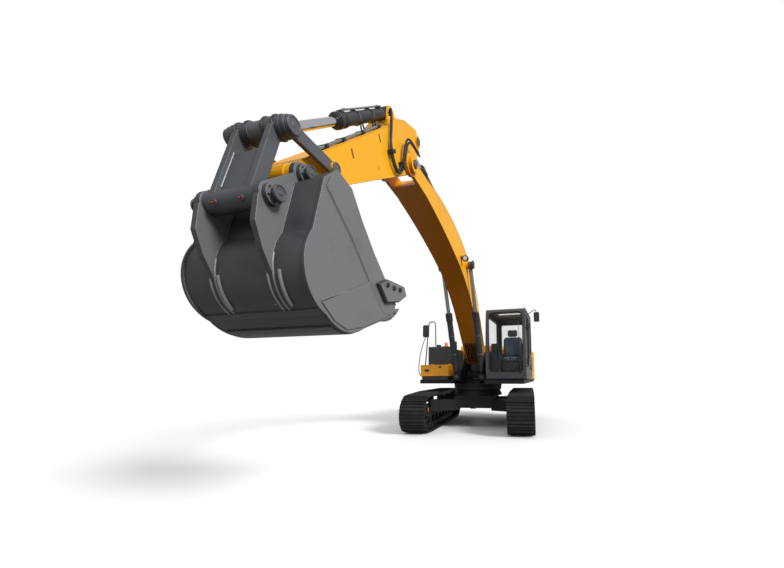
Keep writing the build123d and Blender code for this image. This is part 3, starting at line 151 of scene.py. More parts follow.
class Board:
    """The node tree of one material."""

    def __init__(self, name: str) -> None:
        """Start an empty material of this name."""
        self.material = bpy.data.materials.new(name)
        self.material.use_nodes = True
        self.tree = self.material.node_tree
        self.tree.nodes.clear()

    def node(
        self, kind: str, settings: dict[str, object], inputs: dict[object, object], output: object = None
    ) -> Signal:
        """Add one node.

        Args:
            kind: the node's type name.
            settings: attributes, set before its sockets.
            inputs: socket name or number to a value or a Signal.
            output: name or number of the wanted output; by default the first that is enabled.

        Returns:
            The wanted output.
        """
        node = self.tree.nodes.new(kind)
        for key, value in settings.items():
            setattr(node, key, value)
        for key, value in inputs.items():
            named = [s for s in node.inputs if s.enabled and s.name == key]
            socket = node.inputs[key] if isinstance(key, int) else named[0]
            if isinstance(value, Signal):
                self.tree.links.new(value.socket, socket)
            else:
                socket.default_value = value
        if output is None:
            return Signal(self, next(s for s in node.outputs if s.enabled))
        return Signal(self, node.outputs[output])

    def place(self) -> Signal:
        """Object coordinates, in metres in the machine's frame."""
        return self.node("ShaderNodeTexCoord", {}, {}, "Object")

    def axes(self, vector: Signal) -> tuple[Signal, Signal, Signal]:
        """The three numbers of a vector."""
        node = self.tree.nodes.new("ShaderNodeSeparateXYZ")
        self.tree.links.new(vector.socket, node.inputs[0])
        return tuple(Signal(self, s) for s in node.outputs)

    def stretched(self, vector: Signal, scale: Point) -> Signal:
        """A vector scaled along its axes."""
        return self.node("ShaderNodeVectorMath", {"operation": "MULTIPLY"}, {0: vector, 1: scale})

    def noise(self, vector: Signal, scale: float, detail: float = 3.0, roughness: float = 0.5) -> Signal:
        """Fractal noise between about 0.3 and 0.7.

        Args:
            vector: where it is read.
            scale: cells in a metre.
            detail: octaves.
            roughness: weight of each finer octave.

        Returns:
            Its value.
        """
        inputs = {"Vector": vector, "Scale": scale, "Detail": detail, "Roughness": roughness}
        return self.node("ShaderNodeTexNoise", {}, inputs)

    def cells(self, vector: Signal, scale: float) -> Signal:
        """Distance to the nearest point of a cell pattern."""
        return self.node("ShaderNodeTexVoronoi", {}, {"Vector": vector, "Scale": scale})

    def blend(self, mask: Signal | float, low: Signal | Colour, high: Signal | Colour) -> Signal:
        """A colour between two, by a mask.

        Args:
            mask: 0 gives the first, 1 the second.
            low: first colour.
            high: second colour.

        Returns:
            The mixed colour.
        """
        pair = [c if isinstance(c, Signal) else (*c, 1.0) for c in (low, high)]
        return self.node("ShaderNodeMix", {"data_type": "RGBA"}, {0: mask, 6: pair[0], 7: pair[1]}, 2)

    def normal(self) -> Signal:
        """The surface's own normal."""
        return self.node("ShaderNodeNewGeometry", {}, {}, "Normal")

    def dot(self, first: Signal, second: Signal | Point) -> Signal:
        """Dot product of two vectors."""
        return self.node("ShaderNodeVectorMath", {"operation": "DOT_PRODUCT"}, {0: first, 1: second}, "Value")

    def facing(self, axis: Point) -> Signal:
        """How much the surface looks along an axis, 1 when it does."""
        return self.dot(self.normal(), axis)

    def edge(self, radius: float) -> tuple[Signal, Signal]:
        """Rounded normals near edges, and a mask of those edges.

        Args:
            radius: how far from an edge the rounding reaches.

        Returns:
            The rounded normal, and 0 to 1 towards the edge.
        """
        soft = self.node("ShaderNodeBevel", {"samples": 4}, {"Radius": radius})
        return soft, (1.0 - self.dot(soft, self.normal())).step(0.02, 0.22)

    def bump(self, height: Signal, strength: float, distance: float, normal: Signal | None = None) -> Signal:
        """Turn a height into a normal.

        Args:
            height: the relief, 0 to 1.
            strength: how much of it is used.
            distance: metres for a height of 1.
            normal: the normal that it adds to.

        Returns:
            The bumped normal.
        """
        inputs: dict[object, object] = {"Height": height, "Strength": strength, "Distance": distance}
        if normal is not None:
            inputs["Normal"] = normal
        return self.node("ShaderNodeBump", {}, inputs)

    def finish(self, **inputs: object) -> bpy.types.Material:
        """End the tree in a Principled shader.

        Args:
            inputs: socket names, with _ for a space, and their values or Signals.

        Returns:
            The material.
        """
        named: dict[object, object] = {}
        for key, value in inputs.items():
            if isinstance(value, tuple) and len(value) == 3:
                value = (*value, 1.0)
            named[key.replace("_", " ")] = value
        shader = self.node("ShaderNodeBsdfPrincipled", {}, named)
        out = self.tree.nodes.new("ShaderNodeOutputMaterial")
        self.tree.links.new(shader.socket, out.inputs["Surface"])
        return self.material


# -------------------------------------------------------------------- finishes
@dataclass(frozen=True)
class Paint:
    """Sprayed enamel over plate: slight orange peel, chalky patches, rubbed edges, dust on top.

    Undersides get a darker orange, a painted shade, and the inside faces of the cab a near-black painted
    shade.
    """

    name: str
    colour: Colour
    faded: Colour
    chip: Colour = (0.09, 0.085, 0.08)
    roughness: float = 0.34
    coat: float = 0.35
    wear: float = 0.5
    dust: float = 0.25
    peel: float = 0.02
    sheen: float = 0.22
    # colour of downward faces, a painted shade
    under: Colour | None = None
    # colour of the cab shell's inside faces, a painted shade
    inside_shade: Colour | None = None

    def make(self) -> bpy.types.Material:
        """Build the material: colour by patches, rubbed edges by a rounding mask, dust on upward faces."""
        b = Board(self.name)
        place = b.place()
        broad, fine = b.noise(place, 1.1, 4.0), b.noise(place, 34.0, 5.0, 0.62)
        soft, edge = b.edge(0.006)
        rubbed = (edge * (fine - 0.42).step(0.0, 0.16) * self.wear).clipped()
        streak = b.noise(b.stretched(place, (7.0, 7.0, 0.7)), 3.0, 4.0, 0.6)
        patches = (broad.step(0.36, 0.66) * 0.55 + streak.step(0.5, 0.72) * 0.25).clipped()
        colour = b.blend(patches, self.colour, self.faded)
        if self.under is not None:
            # downward faces turn a darker orange: painted shade under the boom and arm
            shade_below = b.facing((0.0, 0.0, -1.0)).step(0.25, 0.85) * (0.75 + broad * 0.3)
            colour = b.blend(shade_below.clipped(), colour, self.under)
        # the cab shell's faces inside the cab turn near black: painted shade inside the cab
        if self.inside_shade is not None:
            x, y, z = b.axes(place)
            within = (
                y.step(0.522, 0.5235) * (1.0 - y.step(1.3855, 1.387))
                * x.step(-0.5365, -0.535) * (1.0 - z.step(2.9035, 2.905))
            )
            colour = b.blend(within * (1.0 - x.step(1.0, 1.10)), colour, self.inside_shade)
        up = b.facing((0.0, 0.0, 1.0)).step(0.35, 0.95)
        settled = (up * fine.step(0.4, 0.7) * self.dust).clipped()
        colour = b.blend(settled, colour, (0.30, 0.26, 0.21))
        colour = b.blend(rubbed, colour, self.chip)
        rough = (self.roughness + (fine - 0.5) * 0.18 + settled * 0.3 + rubbed * 0.2).clipped()
        normal = b.bump(b.noise(place, 260.0, 2.0), self.peel, 0.002, soft)
        return b.finish(
            Base_Color=colour, Roughness=rough, Coat_Weight=self.coat, Coat_Roughness=0.16, Normal=normal,
            Metallic=rubbed * 0.7, Specular_IOR_Level=self.sheen,
        )


@dataclass(frozen=True)
class WornSteel:
    """Steel plate that digs: thin grey paint, scuffed through in streaks along the work."""

    name: str
    colour: Colour
    bare: Colour
    soil: Colour = (0.085, 0.07, 0.055)
    roughness: float = 0.46
    metal: float = 0.25
    wear: float = 0.5
    soiled: float = 0.3
    # lighter colour of the side plates: painted light from the side
    lit_flank: Colour | None = None

    def make(self) -> bpy.types.Material:
        """Build the material: mottled paint, bare metal on edges and in scratches, soil in patches."""
        b = Board(self.name)
        place = b.place()
        broad, fine = b.noise(place, 2.3, 5.0, 0.6), b.noise(place, 55.0, 6.0, 0.66)
        scratch = b.noise(b.stretched(place, (1.0, 26.0, 2.0)), 9.0, 4.0, 0.7)
        soft, edge = b.edge(0.008)
        open_metal = (edge * fine.step(0.4, 0.58) + (scratch.step(0.6, 0.78) * 0.35)).clipped() * self.wear
        dirt = (broad.step(0.5, 0.72) * fine.step(0.38, 0.62) * self.soiled).clipped()
        tint = b.blend(broad.step(0.3, 0.7), self.colour, tuple(c * 1.28 for c in self.colour))
        # faces looking along ±Y, the side plates, turn a lighter grey: painted light from the side
        if self.lit_flank is not None:
            tint = b.blend(abs(b.facing((0.0, 1.0, 0.0))).step(0.7, 0.95) * 0.9, tint, self.lit_flank)
        tint = b.blend(dirt, tint, self.soil)
        tint = b.blend(open_metal, tint, self.bare)
        rough = (self.roughness + (fine - 0.5) * 0.3 + dirt * 0.35).clipped()
        normal = b.bump(fine + scratch * 0.5, 0.12, 0.0015, soft)
        return b.finish(
            Base_Color=tint, Roughness=rough, Normal=normal,
            Metallic=(self.metal + open_metal * 0.6).clipped(),
        )


@dataclass(frozen=True)
class TrackSteel:
    """Rolled shoes and cast links: dark oxide, earth packed low, tips polished by the ground."""

    name: str
    oxide: Colour = (0.016, 0.016, 0.0165)
    earth: Colour = (0.038, 0.036, 0.034)
    polished: Colour = (0.24, 0.24, 0.24)

    def make(self) -> bpy.types.Material:
        """Build the material: oxide and earth by noise, metal on the grousers' edges."""
        b = Board(self.name)
        place = b.place()
        broad, fine = b.noise(place, 3.0, 5.0, 0.6), b.noise(place, 70.0, 5.0, 0.7)
        soft, edge = b.edge(0.007)
        shine = (edge * fine.step(0.42, 0.56)).clipped() * 0.75
        soil = (broad.step(0.44, 0.66) * fine.step(0.36, 0.6)).clipped() * 0.35
        tint = b.blend(shine, b.blend(soil, self.oxide, self.earth), self.polished)
        rough = (0.52 + (fine - 0.5) * 0.4 + soil * 0.25 - shine * 0.2).clipped()
        return b.finish(
            Base_Color=tint, Roughness=rough, Metallic=(0.45 - soil * 0.4 + shine * 0.5).clipped(),
            Normal=b.bump(fine, 0.3, 0.003, soft),
        )


@dataclass(frozen=True)
class Chrome:
    """Ground and chromed rod, with an oil film in rings."""

    name: str
    colour: Colour = (0.72, 0.74, 0.77)

    def make(self) -> bpy.types.Material:
        """Build the material: mirror metal with a smear in its roughness."""
        b = Board(self.name)
        place = b.place()
        smear = b.noise(b.stretched(place, (3.0, 30.0, 3.0)), 4.0, 4.0)
        return b.finish(
            Base_Color=b.blend(smear.step(0.4, 0.7) * 0.25, self.colour, (0.5, 0.51, 0.54)), Metallic=1.0,
            Roughness=(0.09 + smear.step(0.45, 0.75) * 0.12).clipped(), Normal=b.bump(smear, 0.02, 0.001),
        )


@dataclass(frozen=True)
class Glass:
    """Tinted safety glass with a faint film of dust in patches."""

    name: str
    tint: Colour = (0.07, 0.095, 0.10)
    alpha: float = 0.08

    def make(self) -> bpy.types.Material:
        """Build the material: a clear pane by its alpha, hazier where dust lies."""
        b = Board(self.name)
        place = b.place()
        haze = b.noise(place, 5.0, 5.0, 0.6).step(0.45, 0.75)
        return b.finish(
            Base_Color=self.tint, Roughness=(0.03 + haze * 0.05).clipped(), Coat_Weight=0.4,
            Coat_Roughness=0.03, Alpha=(self.alpha + haze * 0.03).clipped(),
        )


@dataclass(frozen=True)
class Moulded:
    """Moulded plastic or rubber with a grain."""

    name: str
    colour: Colour
    roughness: float = 0.55
    grain: float = 420.0
    depth: float = 0.12

    def make(self) -> bpy.types.Material:
        """Build the material: leather-like grain by cells, faint fading by noise."""
        b = Board(self.name)
        place = b.place()
        grain, broad = b.cells(place, self.grain), b.noise(place, 6.0, 3.0)
        soft, edge = b.edge(0.004)
        pale = tuple(min(1.0, c * 1.5 + 0.02) for c in self.colour)
        return b.finish(
            Base_Color=b.blend((broad.step(0.4, 0.7) * 0.35 + edge * 0.25).clipped(), self.colour, pale),
            Roughness=(self.roughness + (broad - 0.5) * 0.2).clipped(),
            Normal=b.bump(grain, self.depth, 0.0008, soft),
        )


@dataclass(frozen=True)
class Cloth:
    """Woven seat cloth: a fine over-and-under weave, darker in its valleys."""

    name: str
    colour: Colour
    thread: float = 900.0

    def make(self) -> bpy.types.Material:
        """Build the material: the weave is the product of two sine waves across each other."""
        b = Board(self.name)
        place = b.place()
        x, y, z = b.axes(place)
        warp, weft = ((y * self.thread).sine() + 1.0) * 0.5, (((x + z) * self.thread).sine() + 1.0) * 0.5
        weave = warp * weft
        broad = b.noise(place, 8.0, 4.0)
        raised = (weave * 0.6 + broad.step(0.4, 0.7) * 0.3).clipped()
        tint = b.blend(raised, tuple(c * 0.62 for c in self.colour), self.colour)
        return b.finish(
            Base_Color=tint, Roughness=(0.85 + broad * 0.1).clipped(), Sheen_Weight=0.4, Sheen_Roughness=0.5,
            Normal=b.bump(weave, 0.35, 0.0008),
        )


@dataclass(frozen=True)
class Lens:
    """Coloured lamp lens with moulded ribs."""

    name: str
    colour: Colour
    glow: float = 0.15

    def make(self) -> bpy.types.Material:
        """Build the material: ribs by a sine of height."""
        b = Board(self.name)
        place = b.place()
        ribs = (b.axes(place)[2] * 700.0).sine() * 0.5 + 0.5
        tint = b.blend(ribs * 0.35, self.colour, tuple(c * 0.7 for c in self.colour))
        # the lens emits a faint glow; on the rear reflectors and the track marker, which are no lamps, this
        # glow is painted light
        return b.finish(
            Base_Color=tint, Roughness=(0.1 + ribs * 0.08).clipped(), Coat_Weight=0.6, Coat_Roughness=0.05,
            Normal=b.bump(ribs, 0.25, 0.001), Emission_Color=tint, Emission_Strength=self.glow,
        )


@dataclass(frozen=True)
class RodFinish:
    """A chromed rod whose eye end is grey cast steel, split across the rod's own line."""

    name: str
    eye: Point
    line: Point
    reach: float = 0.140
    chrome: Colour = (0.74, 0.76, 0.79)
    cast: Colour = (0.10, 0.112, 0.125)

    def make(self) -> bpy.types.Material:
        """Build the material: distance along the rod from its eye parts cast steel from chrome."""
        b = Board(self.name)
        place = b.place()
        offset = b.node("ShaderNodeVectorMath", {"operation": "SUBTRACT"}, {0: place, 1: self.eye})
        rod = b.dot(offset, self.line).step(self.reach, self.reach + 0.002)
        fine = b.noise(place, 60.0, 5.0, 0.6)
        smear = b.noise(b.stretched(place, (3.0, 30.0, 3.0)), 4.0, 4.0)
        soft, edge = b.edge(0.005)
        steel = b.blend(smear.step(0.4, 0.7) * 0.25, self.chrome, (0.5, 0.51, 0.54))
        end = b.blend(edge * fine.step(0.4, 0.6) * 0.4, self.cast, (0.28, 0.28, 0.28))
        return b.finish(
            Base_Color=b.blend(rod, end, steel), Metallic=(0.2 + rod * 0.8).clipped(),
            Roughness=(0.5 - rod * 0.4 + smear.step(0.45, 0.75) * 0.1).clipped(),
            Normal=b.bump(fine, 0.05, 0.001, soft),
        )


@dataclass(frozen=True)
class TwoTone:
    """Paint that changes colour at a height."""

    name: str
    upper: Colour
    lower: Colour
    split: float

    def make(self) -> bpy.types.Material:
        """Build the material: the split is a step of height, both sides lightly faded by noise."""
        b = Board(self.name)
        place = b.place()
        above = b.axes(place)[2].step(self.split - 0.001, self.split + 0.001)
        broad, fine = b.noise(place, 2.0, 4.0), b.noise(place, 40.0, 4.0, 0.6)
        soft, edge = b.edge(0.006)
        fade = 1.0 - broad.step(0.36, 0.66) * 0.12
        worn = edge * fine.step(0.42, 0.58) * 0.4
        tint = b.blend(worn, b.blend(above, self.lower, self.upper), (0.10, 0.09, 0.08))
        product = {"data_type": "RGBA", "blend_type": "MULTIPLY"}
        grey = b.blend(fade, (0.0, 0.0, 0.0), (1.0, 1.0, 1.0))
        return b.finish(
            Base_Color=b.node("ShaderNodeMix", product, {0: 1.0, 6: tint, 7: grey}, 2),
            Roughness=(0.4 + (fine - 0.5) * 0.2).clipped(), Coat_Weight=0.2, Normal=soft,
        )


ENAMEL = 0.93, 0.43, 0.003
# darker orange for downward faces: a painted shade
UNDERSIDE_SHADE = 0.66, 0.19, 0.004


class Finish(Enum):
    """Every finish on the machine."""

    YELLOW = Paint(
        "yellow_enamel", ENAMEL, (0.86, 0.38, 0.003), roughness=0.42, coat=0.12, dust=0.12, under=UNDERSIDE_SHADE
    )
    # the side plates' lighter grey is painted light: they are lighter than the rest of the same paint
    DIGGING_GREY = WornSteel(
        "digging_grey", (0.046, 0.050, 0.056), (0.26, 0.26, 0.26), lit_flank=(0.20, 0.206, 0.214)
    )
    LINKAGE_GREY = WornSteel(
        "linkage_grey", (0.058, 0.065, 0.074), (0.25, 0.25, 0.25), wear=0.35, lit_flank=(0.11, 0.118, 0.128)
    )
    CYLINDER_GREY = WornSteel("cylinder_grey", (0.032, 0.035, 0.040), (0.20, 0.20, 0.20), wear=0.3)
    CAB_GREY = Paint(
        "cab_paint", (0.060, 0.066, 0.074), (0.08, 0.086, 0.094), roughness=0.45, coat=0.1, dust=0.06,
        inside_shade=(0.006, 0.0065, 0.007),
    )
    TANK_GREY = Paint(
        "tank_paint", (0.052, 0.059, 0.067), (0.066, 0.074, 0.082), roughness=0.45, coat=0.05, wear=0.1,
        dust=0.05,
    )
    CHASSIS_BLACK = Paint(
        "chassis_black", (0.010, 0.010, 0.011), (0.018, 0.018, 0.018), roughness=0.55, coat=0.05, dust=0.15
    )
    TRACK = TrackSteel("track_shoes")
    CASTING = TrackSteel("castings", oxide=(0.022, 0.021, 0.021))
    GLASS = Glass("cab_glazing")
    SEAT = Cloth("seat_cloth", (0.10, 0.135, 0.20))
    PLASTIC = Moulded("black_plastic", (0.018, 0.019, 0.021))
    RUBBER = Moulded("black_rubber", (0.012, 0.012, 0.013), roughness=0.62, grain=260.0)
    AMBER = Lens("amber_lens", (0.95, 0.26, 0.01))
    ENGINE = TrackSteel("engine_casting", oxide=(0.06, 0.06, 0.062))
    GLAND_BLACK = Moulded("gland_black", (0.014, 0.015, 0.017), roughness=0.35, depth=0.05)
    BUCKET_ROD = RodFinish("bucket_rod_steel", (7.660, 0.0, 3.272), (-0.7615, 0.0, 0.6482))
    ARM_ROD = RodFinish("arm_rod_steel", (4.9240, 0.0, 5.0018), (-0.9766, 0.0, -0.2153))
    # the boom's rods get a darker chrome: a painted dark reflection
    BOOM_ROD = RodFinish(
        "boom_rod_steel", (2.0971, 0.0, 3.8188), (-0.4097, 0.0, -0.9122), chrome=(0.30, 0.31, 0.33)
    )
    WELD = WornSteel(
        "bare_weld", (0.24, 0.245, 0.25), (0.55, 0.55, 0.55), roughness=0.42, metal=0.55, wear=0.8, soiled=0.2
    )
    YELLOW_WELD = Paint(
        "painted_weld", ENAMEL, (0.72, 0.33, 0.004), roughness=0.42, coat=0.12, peel=0.1, wear=0.8,
        under=UNDERSIDE_SHADE,
    )
    RED_CAP = Paint("red_cap", (0.55, 0.02, 0.015), (0.45, 0.03, 0.02), roughness=0.4)
    PIPE_GREY = Paint("pipe_grey", (0.16, 0.17, 0.18), (0.2, 0.2, 0.21), roughness=0.4)
    RAIL_GREY = Paint("rail_grey", (0.20, 0.21, 0.22), (0.25, 0.26, 0.27), roughness=0.45, coat=0.1)
    MARKER = Paint("marker_brown", (0.20, 0.055, 0.025), (0.16, 0.05, 0.025), roughness=0.5)
    TOOLBOX = TwoTone("toolbox_paint", (0.96, 0.40, 0.002), (0.022, 0.022, 0.024), 1.300)
    LAMP = Lens("clear_lens", (0.80, 0.82, 0.84), 0.05)
    RED_LENS = Lens("red_lens", (0.60, 0.01, 0.008), 0.05)
    SCREEN = Moulded("dark_screen", (0.010, 0.012, 0.014), roughness=0.12, depth=0.0)
    MIRROR = Chrome("mirror_glass", (0.80, 0.82, 0.84))

    def material(self) -> bpy.types.Material:
        """The finish's material, made once."""
        found = bpy.data.materials.get(self.value.name)
        return found if found is not None else self.value.make()


# ---------------------------------------------------------------- mesh surfaces
def outward(points: Array, faces: Array) -> Skin:
    """A closed skin, turned inside out if its signed volume, the sum of a.(b x c) / 6, is negative."""
    a, b, c, d = (points[faces[:, k]] for k in range(4))
    volume = (a * np.cross(b, c)).sum() + (a * np.cross(c, d)).sum()
    return points, faces if volume > 0 else faces[:, [1, 0, 3, 2]]


def quads(count: int, around: int) -> Array:
    """Faces between neighbouring rings, the last joined to the first."""
    r, s = np.meshgrid(np.arange(count), np.arange(around), indexing="ij")
    here, there = r * around, (r + 1) % count * around
    after = (s + 1) % around
    return np.stack([here + s, here + after, there + after, there + s], -1)


def lofted(rings: Array) -> Skin:
    """A closed skin over rings of points.

    Neighbouring rings are joined by quads, and each end by a fan round the middle of its ring.

    Args:
        rings: R by S by 3 places.

    Returns:
        The points, and faces of four corners, the last repeated in a triangle.
    """
    count, around = rings.shape[:2]
    points = np.vstack([rings.reshape(-1, 3), rings[[0, -1]].mean(axis=1)])
    s, base = np.arange(around), (count - 1) * around
    after, start = (s + 1) % around, np.full(around, count * around)
    near = np.stack([after, s, start, start], -1)
    far = np.stack([base + s, base + after, start + 1, start + 1], -1)
    return outward(points, np.vstack([quads(count, around)[:-1].reshape(-1, 4), near, far]))


def gathered(skins: Iterable[Skin]) -> Skin:
    """Several skins as one set of points and faces."""
    parts = list(skins)
    starts = np.cumsum([0] + [len(p) for p, _ in parts[:-1]])
    return np.vstack([p for p, _ in parts]), np.vstack([f + n for (_, f), n in zip(parts, starts)])


def repeated(skin: Skin, origins: Array, turns: Array) -> Skin:
    """Copies of a skin.

    Args:
        skin: points and faces about the origin, with its axis along z.
        origins: K by 3 places of the copies.
        turns: K by 3 by 3 matrices, or one 3 by 3, whose columns are the copies' x, y and z.

    Returns:
        All copies' points and faces.
    """
    points, faces = skin
    origins = np.atleast_2d(np.asarray(origins, float))
    turns = np.broadcast_to(turns, (len(origins), 3, 3))
    placed = np.einsum("kij,nj->kni", turns, points) + origins[:, None, :]
    numbers = faces[None] + (np.arange(len(origins)) * len(points))[:, None, None]
    return placed.reshape(-1, 3), numbers.reshape(-1, 4)


def standing(axis: Array, up: Array = (0.0, 0.0, 1.0)) -> Array:
    """Matrices whose z column is an axis, or each of K axes, and whose y column leans to up."""
    z = np.asarray(axis, float)
    z = z / np.linalg.norm(z, axis=-1, keepdims=True)
    up = np.broadcast_to(np.asarray(up, float), z.shape)
    up = np.where(np.abs((up * z).sum(-1, keepdims=True)) > 0.98, np.array([1.0, 0.0, 0.0]), up)
    x = np.cross(up, z)
    x = x / np.linalg.norm(x, axis=-1, keepdims=True)
    return np.stack([x, np.cross(z, x), z], -1)


def turned(profile: Iterable[Sequence[float]], sides: int = 24) -> Skin:
    """A turned form about z.

    A ring's radius is its profile's, stretched to a hexagon by 1 / cos of the angle past the
    nearest flat as far as the row's third number says.

    Args:
        profile: rows of radius, height and, where it isn't 0, share of hexagon.
        sides: points round each ring.

    Returns:
        Its skin.
    """
    rows = np.array([(*row, 0.0)[:3] for row in profile], float)
    angle = np.arange(sides) * 2.0 * math.pi / sides
    sixth = math.pi / 3.0
    flat = 1.0 / np.cos((angle + sixth / 2.0) % sixth - sixth / 2.0) * math.cos(sixth / 2.0)
    radius = rows[:, :1] * (1.0 + rows[:, 2:] * (flat[None] - 1.0))
    height = np.broadcast_to(rows[:, 1:2], radius.shape)
    return lofted(np.stack([radius * np.cos(angle), radius * np.sin(angle), height], -1))


def slab(
    length: float, width: float, thick: float, corner: float, soft: float, crown: float = 0.0
) -> Skin:
    """A plate with round corners and softened rims, lying on z = 0.

    Its outline is a rectangle's corner circles, a quarter of the ring each; the rim follows a
    quarter circle of radius soft at both faces, and the upper face rises by crown to its middle.

    Args:
        length: size along x.
        width: size along y.
        thick: size along z at its rim.
        corner: radius of the corners.
        soft: radius of the rims.
        crown: rise of the middle over the rim.

    Returns:
        Its skin.
    """
    turn = np.linspace(0.0, 2.0 * math.pi, 32, endpoint=False) + math.pi / 32.0
    bend = np.linspace(0.0, math.pi / 2.0, 4)
    out, back = soft * (1.0 - np.sin(bend)), soft * (1.0 - np.cos(bend))
    inset = np.concatenate([out, back, [soft * 2.0 + corner * 0.2, soft * 3.0 + corner * 0.6]])
    height = np.concatenate([back, thick - out, [thick + crown * 0.5, thick + crown]])
    half_x, half_y = (length / 2.0 - inset)[:, None], (width / 2.0 - inset)[:, None]
    radius = np.clip(corner - inset, corner * 0.15, None)[:, None]
    x = np.sign(np.cos(turn)) * (half_x - radius) + radius * np.cos(turn)
    y = np.sign(np.sin(turn)) * (half_y - radius) + radius * np.sin(turn)
    return lofted(np.stack([x, y, np.broadcast_to(height[:, None], x.shape)], -1))


def smoothed(points: Sequence[Point], count: int) -> Array:
    """A Catmull-Rom curve: between b and c, half of 2b + (c-a)t + (2a-5b+4c-d)t^2 + (3b-a-3c+d)t^3.

    Args:
        points: places it passes through.
        count: places wanted along it.

    Returns:
        count by 3 places.
    """
    p = np.asarray(points, float)
    p = np.vstack([2 * p[0] - p[1], p, 2 * p[-1] - p[-2]])
    spans = len(p) - 3
    u = np.linspace(0.0, spans, count)
    k = np.minimum(u.astype(int), spans - 1)
    t = (u - k)[:, None]
    a, b, c, d = (p[k + n] for n in range(4))
    return 0.5 * (2 * b + (c - a) * t + (2 * a - 5 * b + 4 * c - d) * t**2 + (3 * b - a - 3 * c + d) * t**3)


def swept(
    path: Array, radius: float | Array, sides: int = 10, closed: bool = False, flat: float = 1.0
) -> Skin:
    """A tube: circles square to the path's tangent, spread from the axis that the path follows least.

    Args:
        path: N by 3 places.
        radius: the tube's radius, one or one for each place.
        sides: points round each circle.
        closed: whether its end joins its start.
        flat: height of the section as a share of its width.

    Returns:
        Its skin.
    """
    ends = np.vstack([path[-1], path, path[0]])
    tangent = ends[2:] - ends[:-2] if closed else np.gradient(path, axis=0)
    tangent = tangent / np.linalg.norm(tangent, axis=1, keepdims=True)
    least = np.eye(3)[np.abs(tangent).max(axis=0).argmin()]
    across = np.cross(tangent, least)
    across = across / np.linalg.norm(across, axis=1, keepdims=True)
    above = np.cross(across, tangent)
    angle = (np.arange(sides) * 2.0 * math.pi / sides)[None, :, None]
    wide = np.broadcast_to(np.asarray(radius, float), (len(path),))[:, None, None]
    rings = path[:, None] + wide * (np.cos(angle) * across[:, None] + flat * np.sin(angle) * above[:, None])
    if closed:
        return outward(rings.reshape(-1, 3), quads(len(path), sides).reshape(-1, 4))
    return lofted(rings)


def bolt(size: float) -> Skin:
    """A hexagon bolt head on its washer, standing on z = 0, for a thread of this size in metres."""
    washer, head = 0.16 * size, 0.62 * size
    rows = (
        (1.05, 0.0), (1.05, 0.14 * size), (0.9, washer), (0.9, washer, 1.0), (0.9, washer + head * 0.85, 1.0),
        (0.78, washer + head, 0.4), (0.2, washer + head),
    )
    return turned([(size * wide, *rest) for wide, *rest in rows])


def cap(radius: float, thick: float) -> Skin:
    """A pin's end cap with a raised rim and a sunk face."""
    rows = (
        (1.0, 0.0), (1.0, 0.72), (0.93, 1.0), (0.80, 1.0), (0.74, 0.66), (0.30, 0.62), (0.24, 0.9),
        (0.05, 0.92),
    )
    return turned([(radius * wide, thick * high) for wide, high in rows], 40)


@dataclass(frozen=True)
class Side:
    """A side view of one link: its pivot, and which way its x axis runs."""

    x: float
    z: float
    angle: float

    def along(self, x: float, z: float) -> Array:
        """Machine direction of a direction in the link's own plane."""
        c, s = math.cos(self.angle), math.sin(self.angle)
        return np.array([x * c - z * s, 0.0, x * s + z * c])

    def at(self, x: Array, y: Array, z: Array) -> Array:
        """Machine places of points along, beside and above the link."""
        x, y, z = np.broadcast_arrays(*(np.asarray(v, float) for v in (x, y, z)))
        c, s = math.cos(self.angle), math.sin(self.angle)
        return np.stack([self.x + x * c - z * s, y, self.z + x * s + z * c], -1)


FORWARD, LEFT, UP = LEVEL = np.eye(3)
SIDES = (1, -1)
# radius of the hoses at the boom's foot, and how far beside the middle each lies
HOSE, HOSE_ROW = 0.0165, np.linspace(-0.165, 0.165, 7)
# the bucket's slope at rest, the x and z of its rod's eye, and the boom cylinders' upper pin
# along and above the boom
BUCKET_SLOPE = math.radians(214.26)
BUCKET_ROD_EYE = 7.6602, 3.2720
BOOM_ROD_PIN = 2.6419, 0.936
# axes of a plate that faces forward, and of one that faces back
AHEAD = np.stack([LEFT, UP, FORWARD], -1)
BEHIND = np.stack([-LEFT, UP, -FORWARD], -1)


def beside(side: float) -> Array:
    """Axes of a plate on a wall that looks left (1) or right (-1)."""
    return np.stack([FORWARD, -UP * side, LEFT * side], -1)


def both(x: float, y: float, reach: float, z: float) -> Array:
    """A place to the left and one to the right of a line, as far from it as reach."""
    return np.array([(x, y + s * reach, z) for s in SIDES])


def apart(rows: Array) -> Array:
    """Turns for places to the left and right of the middle plane, each facing away from it."""
    return standing(np.sign(rows[:, 1:2]) * LEFT)


def arc_through(
    first: tuple[float, float], middle: tuple[float, float], last: tuple[float, float], count: int
) -> Array:
    """Points on the circle through three.

    Its centre solves |p - c| equal for all three, and the angle runs evenly.
    """
    (x1, y1), (x2, y2), (x3, y3) = first, middle, last
    system = np.array([[x2 - x1, y2 - y1], [x3 - x1, y3 - y1]]) * 2.0
    squares = [x2**2 - x1**2 + y2**2 - y1**2, x3**2 - x1**2 + y3**2 - y1**2]
    centre = np.linalg.solve(system, np.array(squares))
    ends = np.unwrap([math.atan2(y - centre[1], x - centre[0]) for x, y in (first, middle, last)])
    angle = np.linspace(ends[0], ends[2], count)
    radius = math.hypot(x1 - centre[0], y1 - centre[1])
    return centre + radius * np.stack([np.cos(angle), np.sin(angle)], -1)


def corner_lines(side: Side, half: float, outlines: Iterable[Array]) -> list[Array]:
    """Lines on both side plates of a box beam, along x, z outlines in its side view."""
    return [side.at(r[:, 0], s * (half - 0.001), r[:, 1]) for s in SIDES for r in outlines]


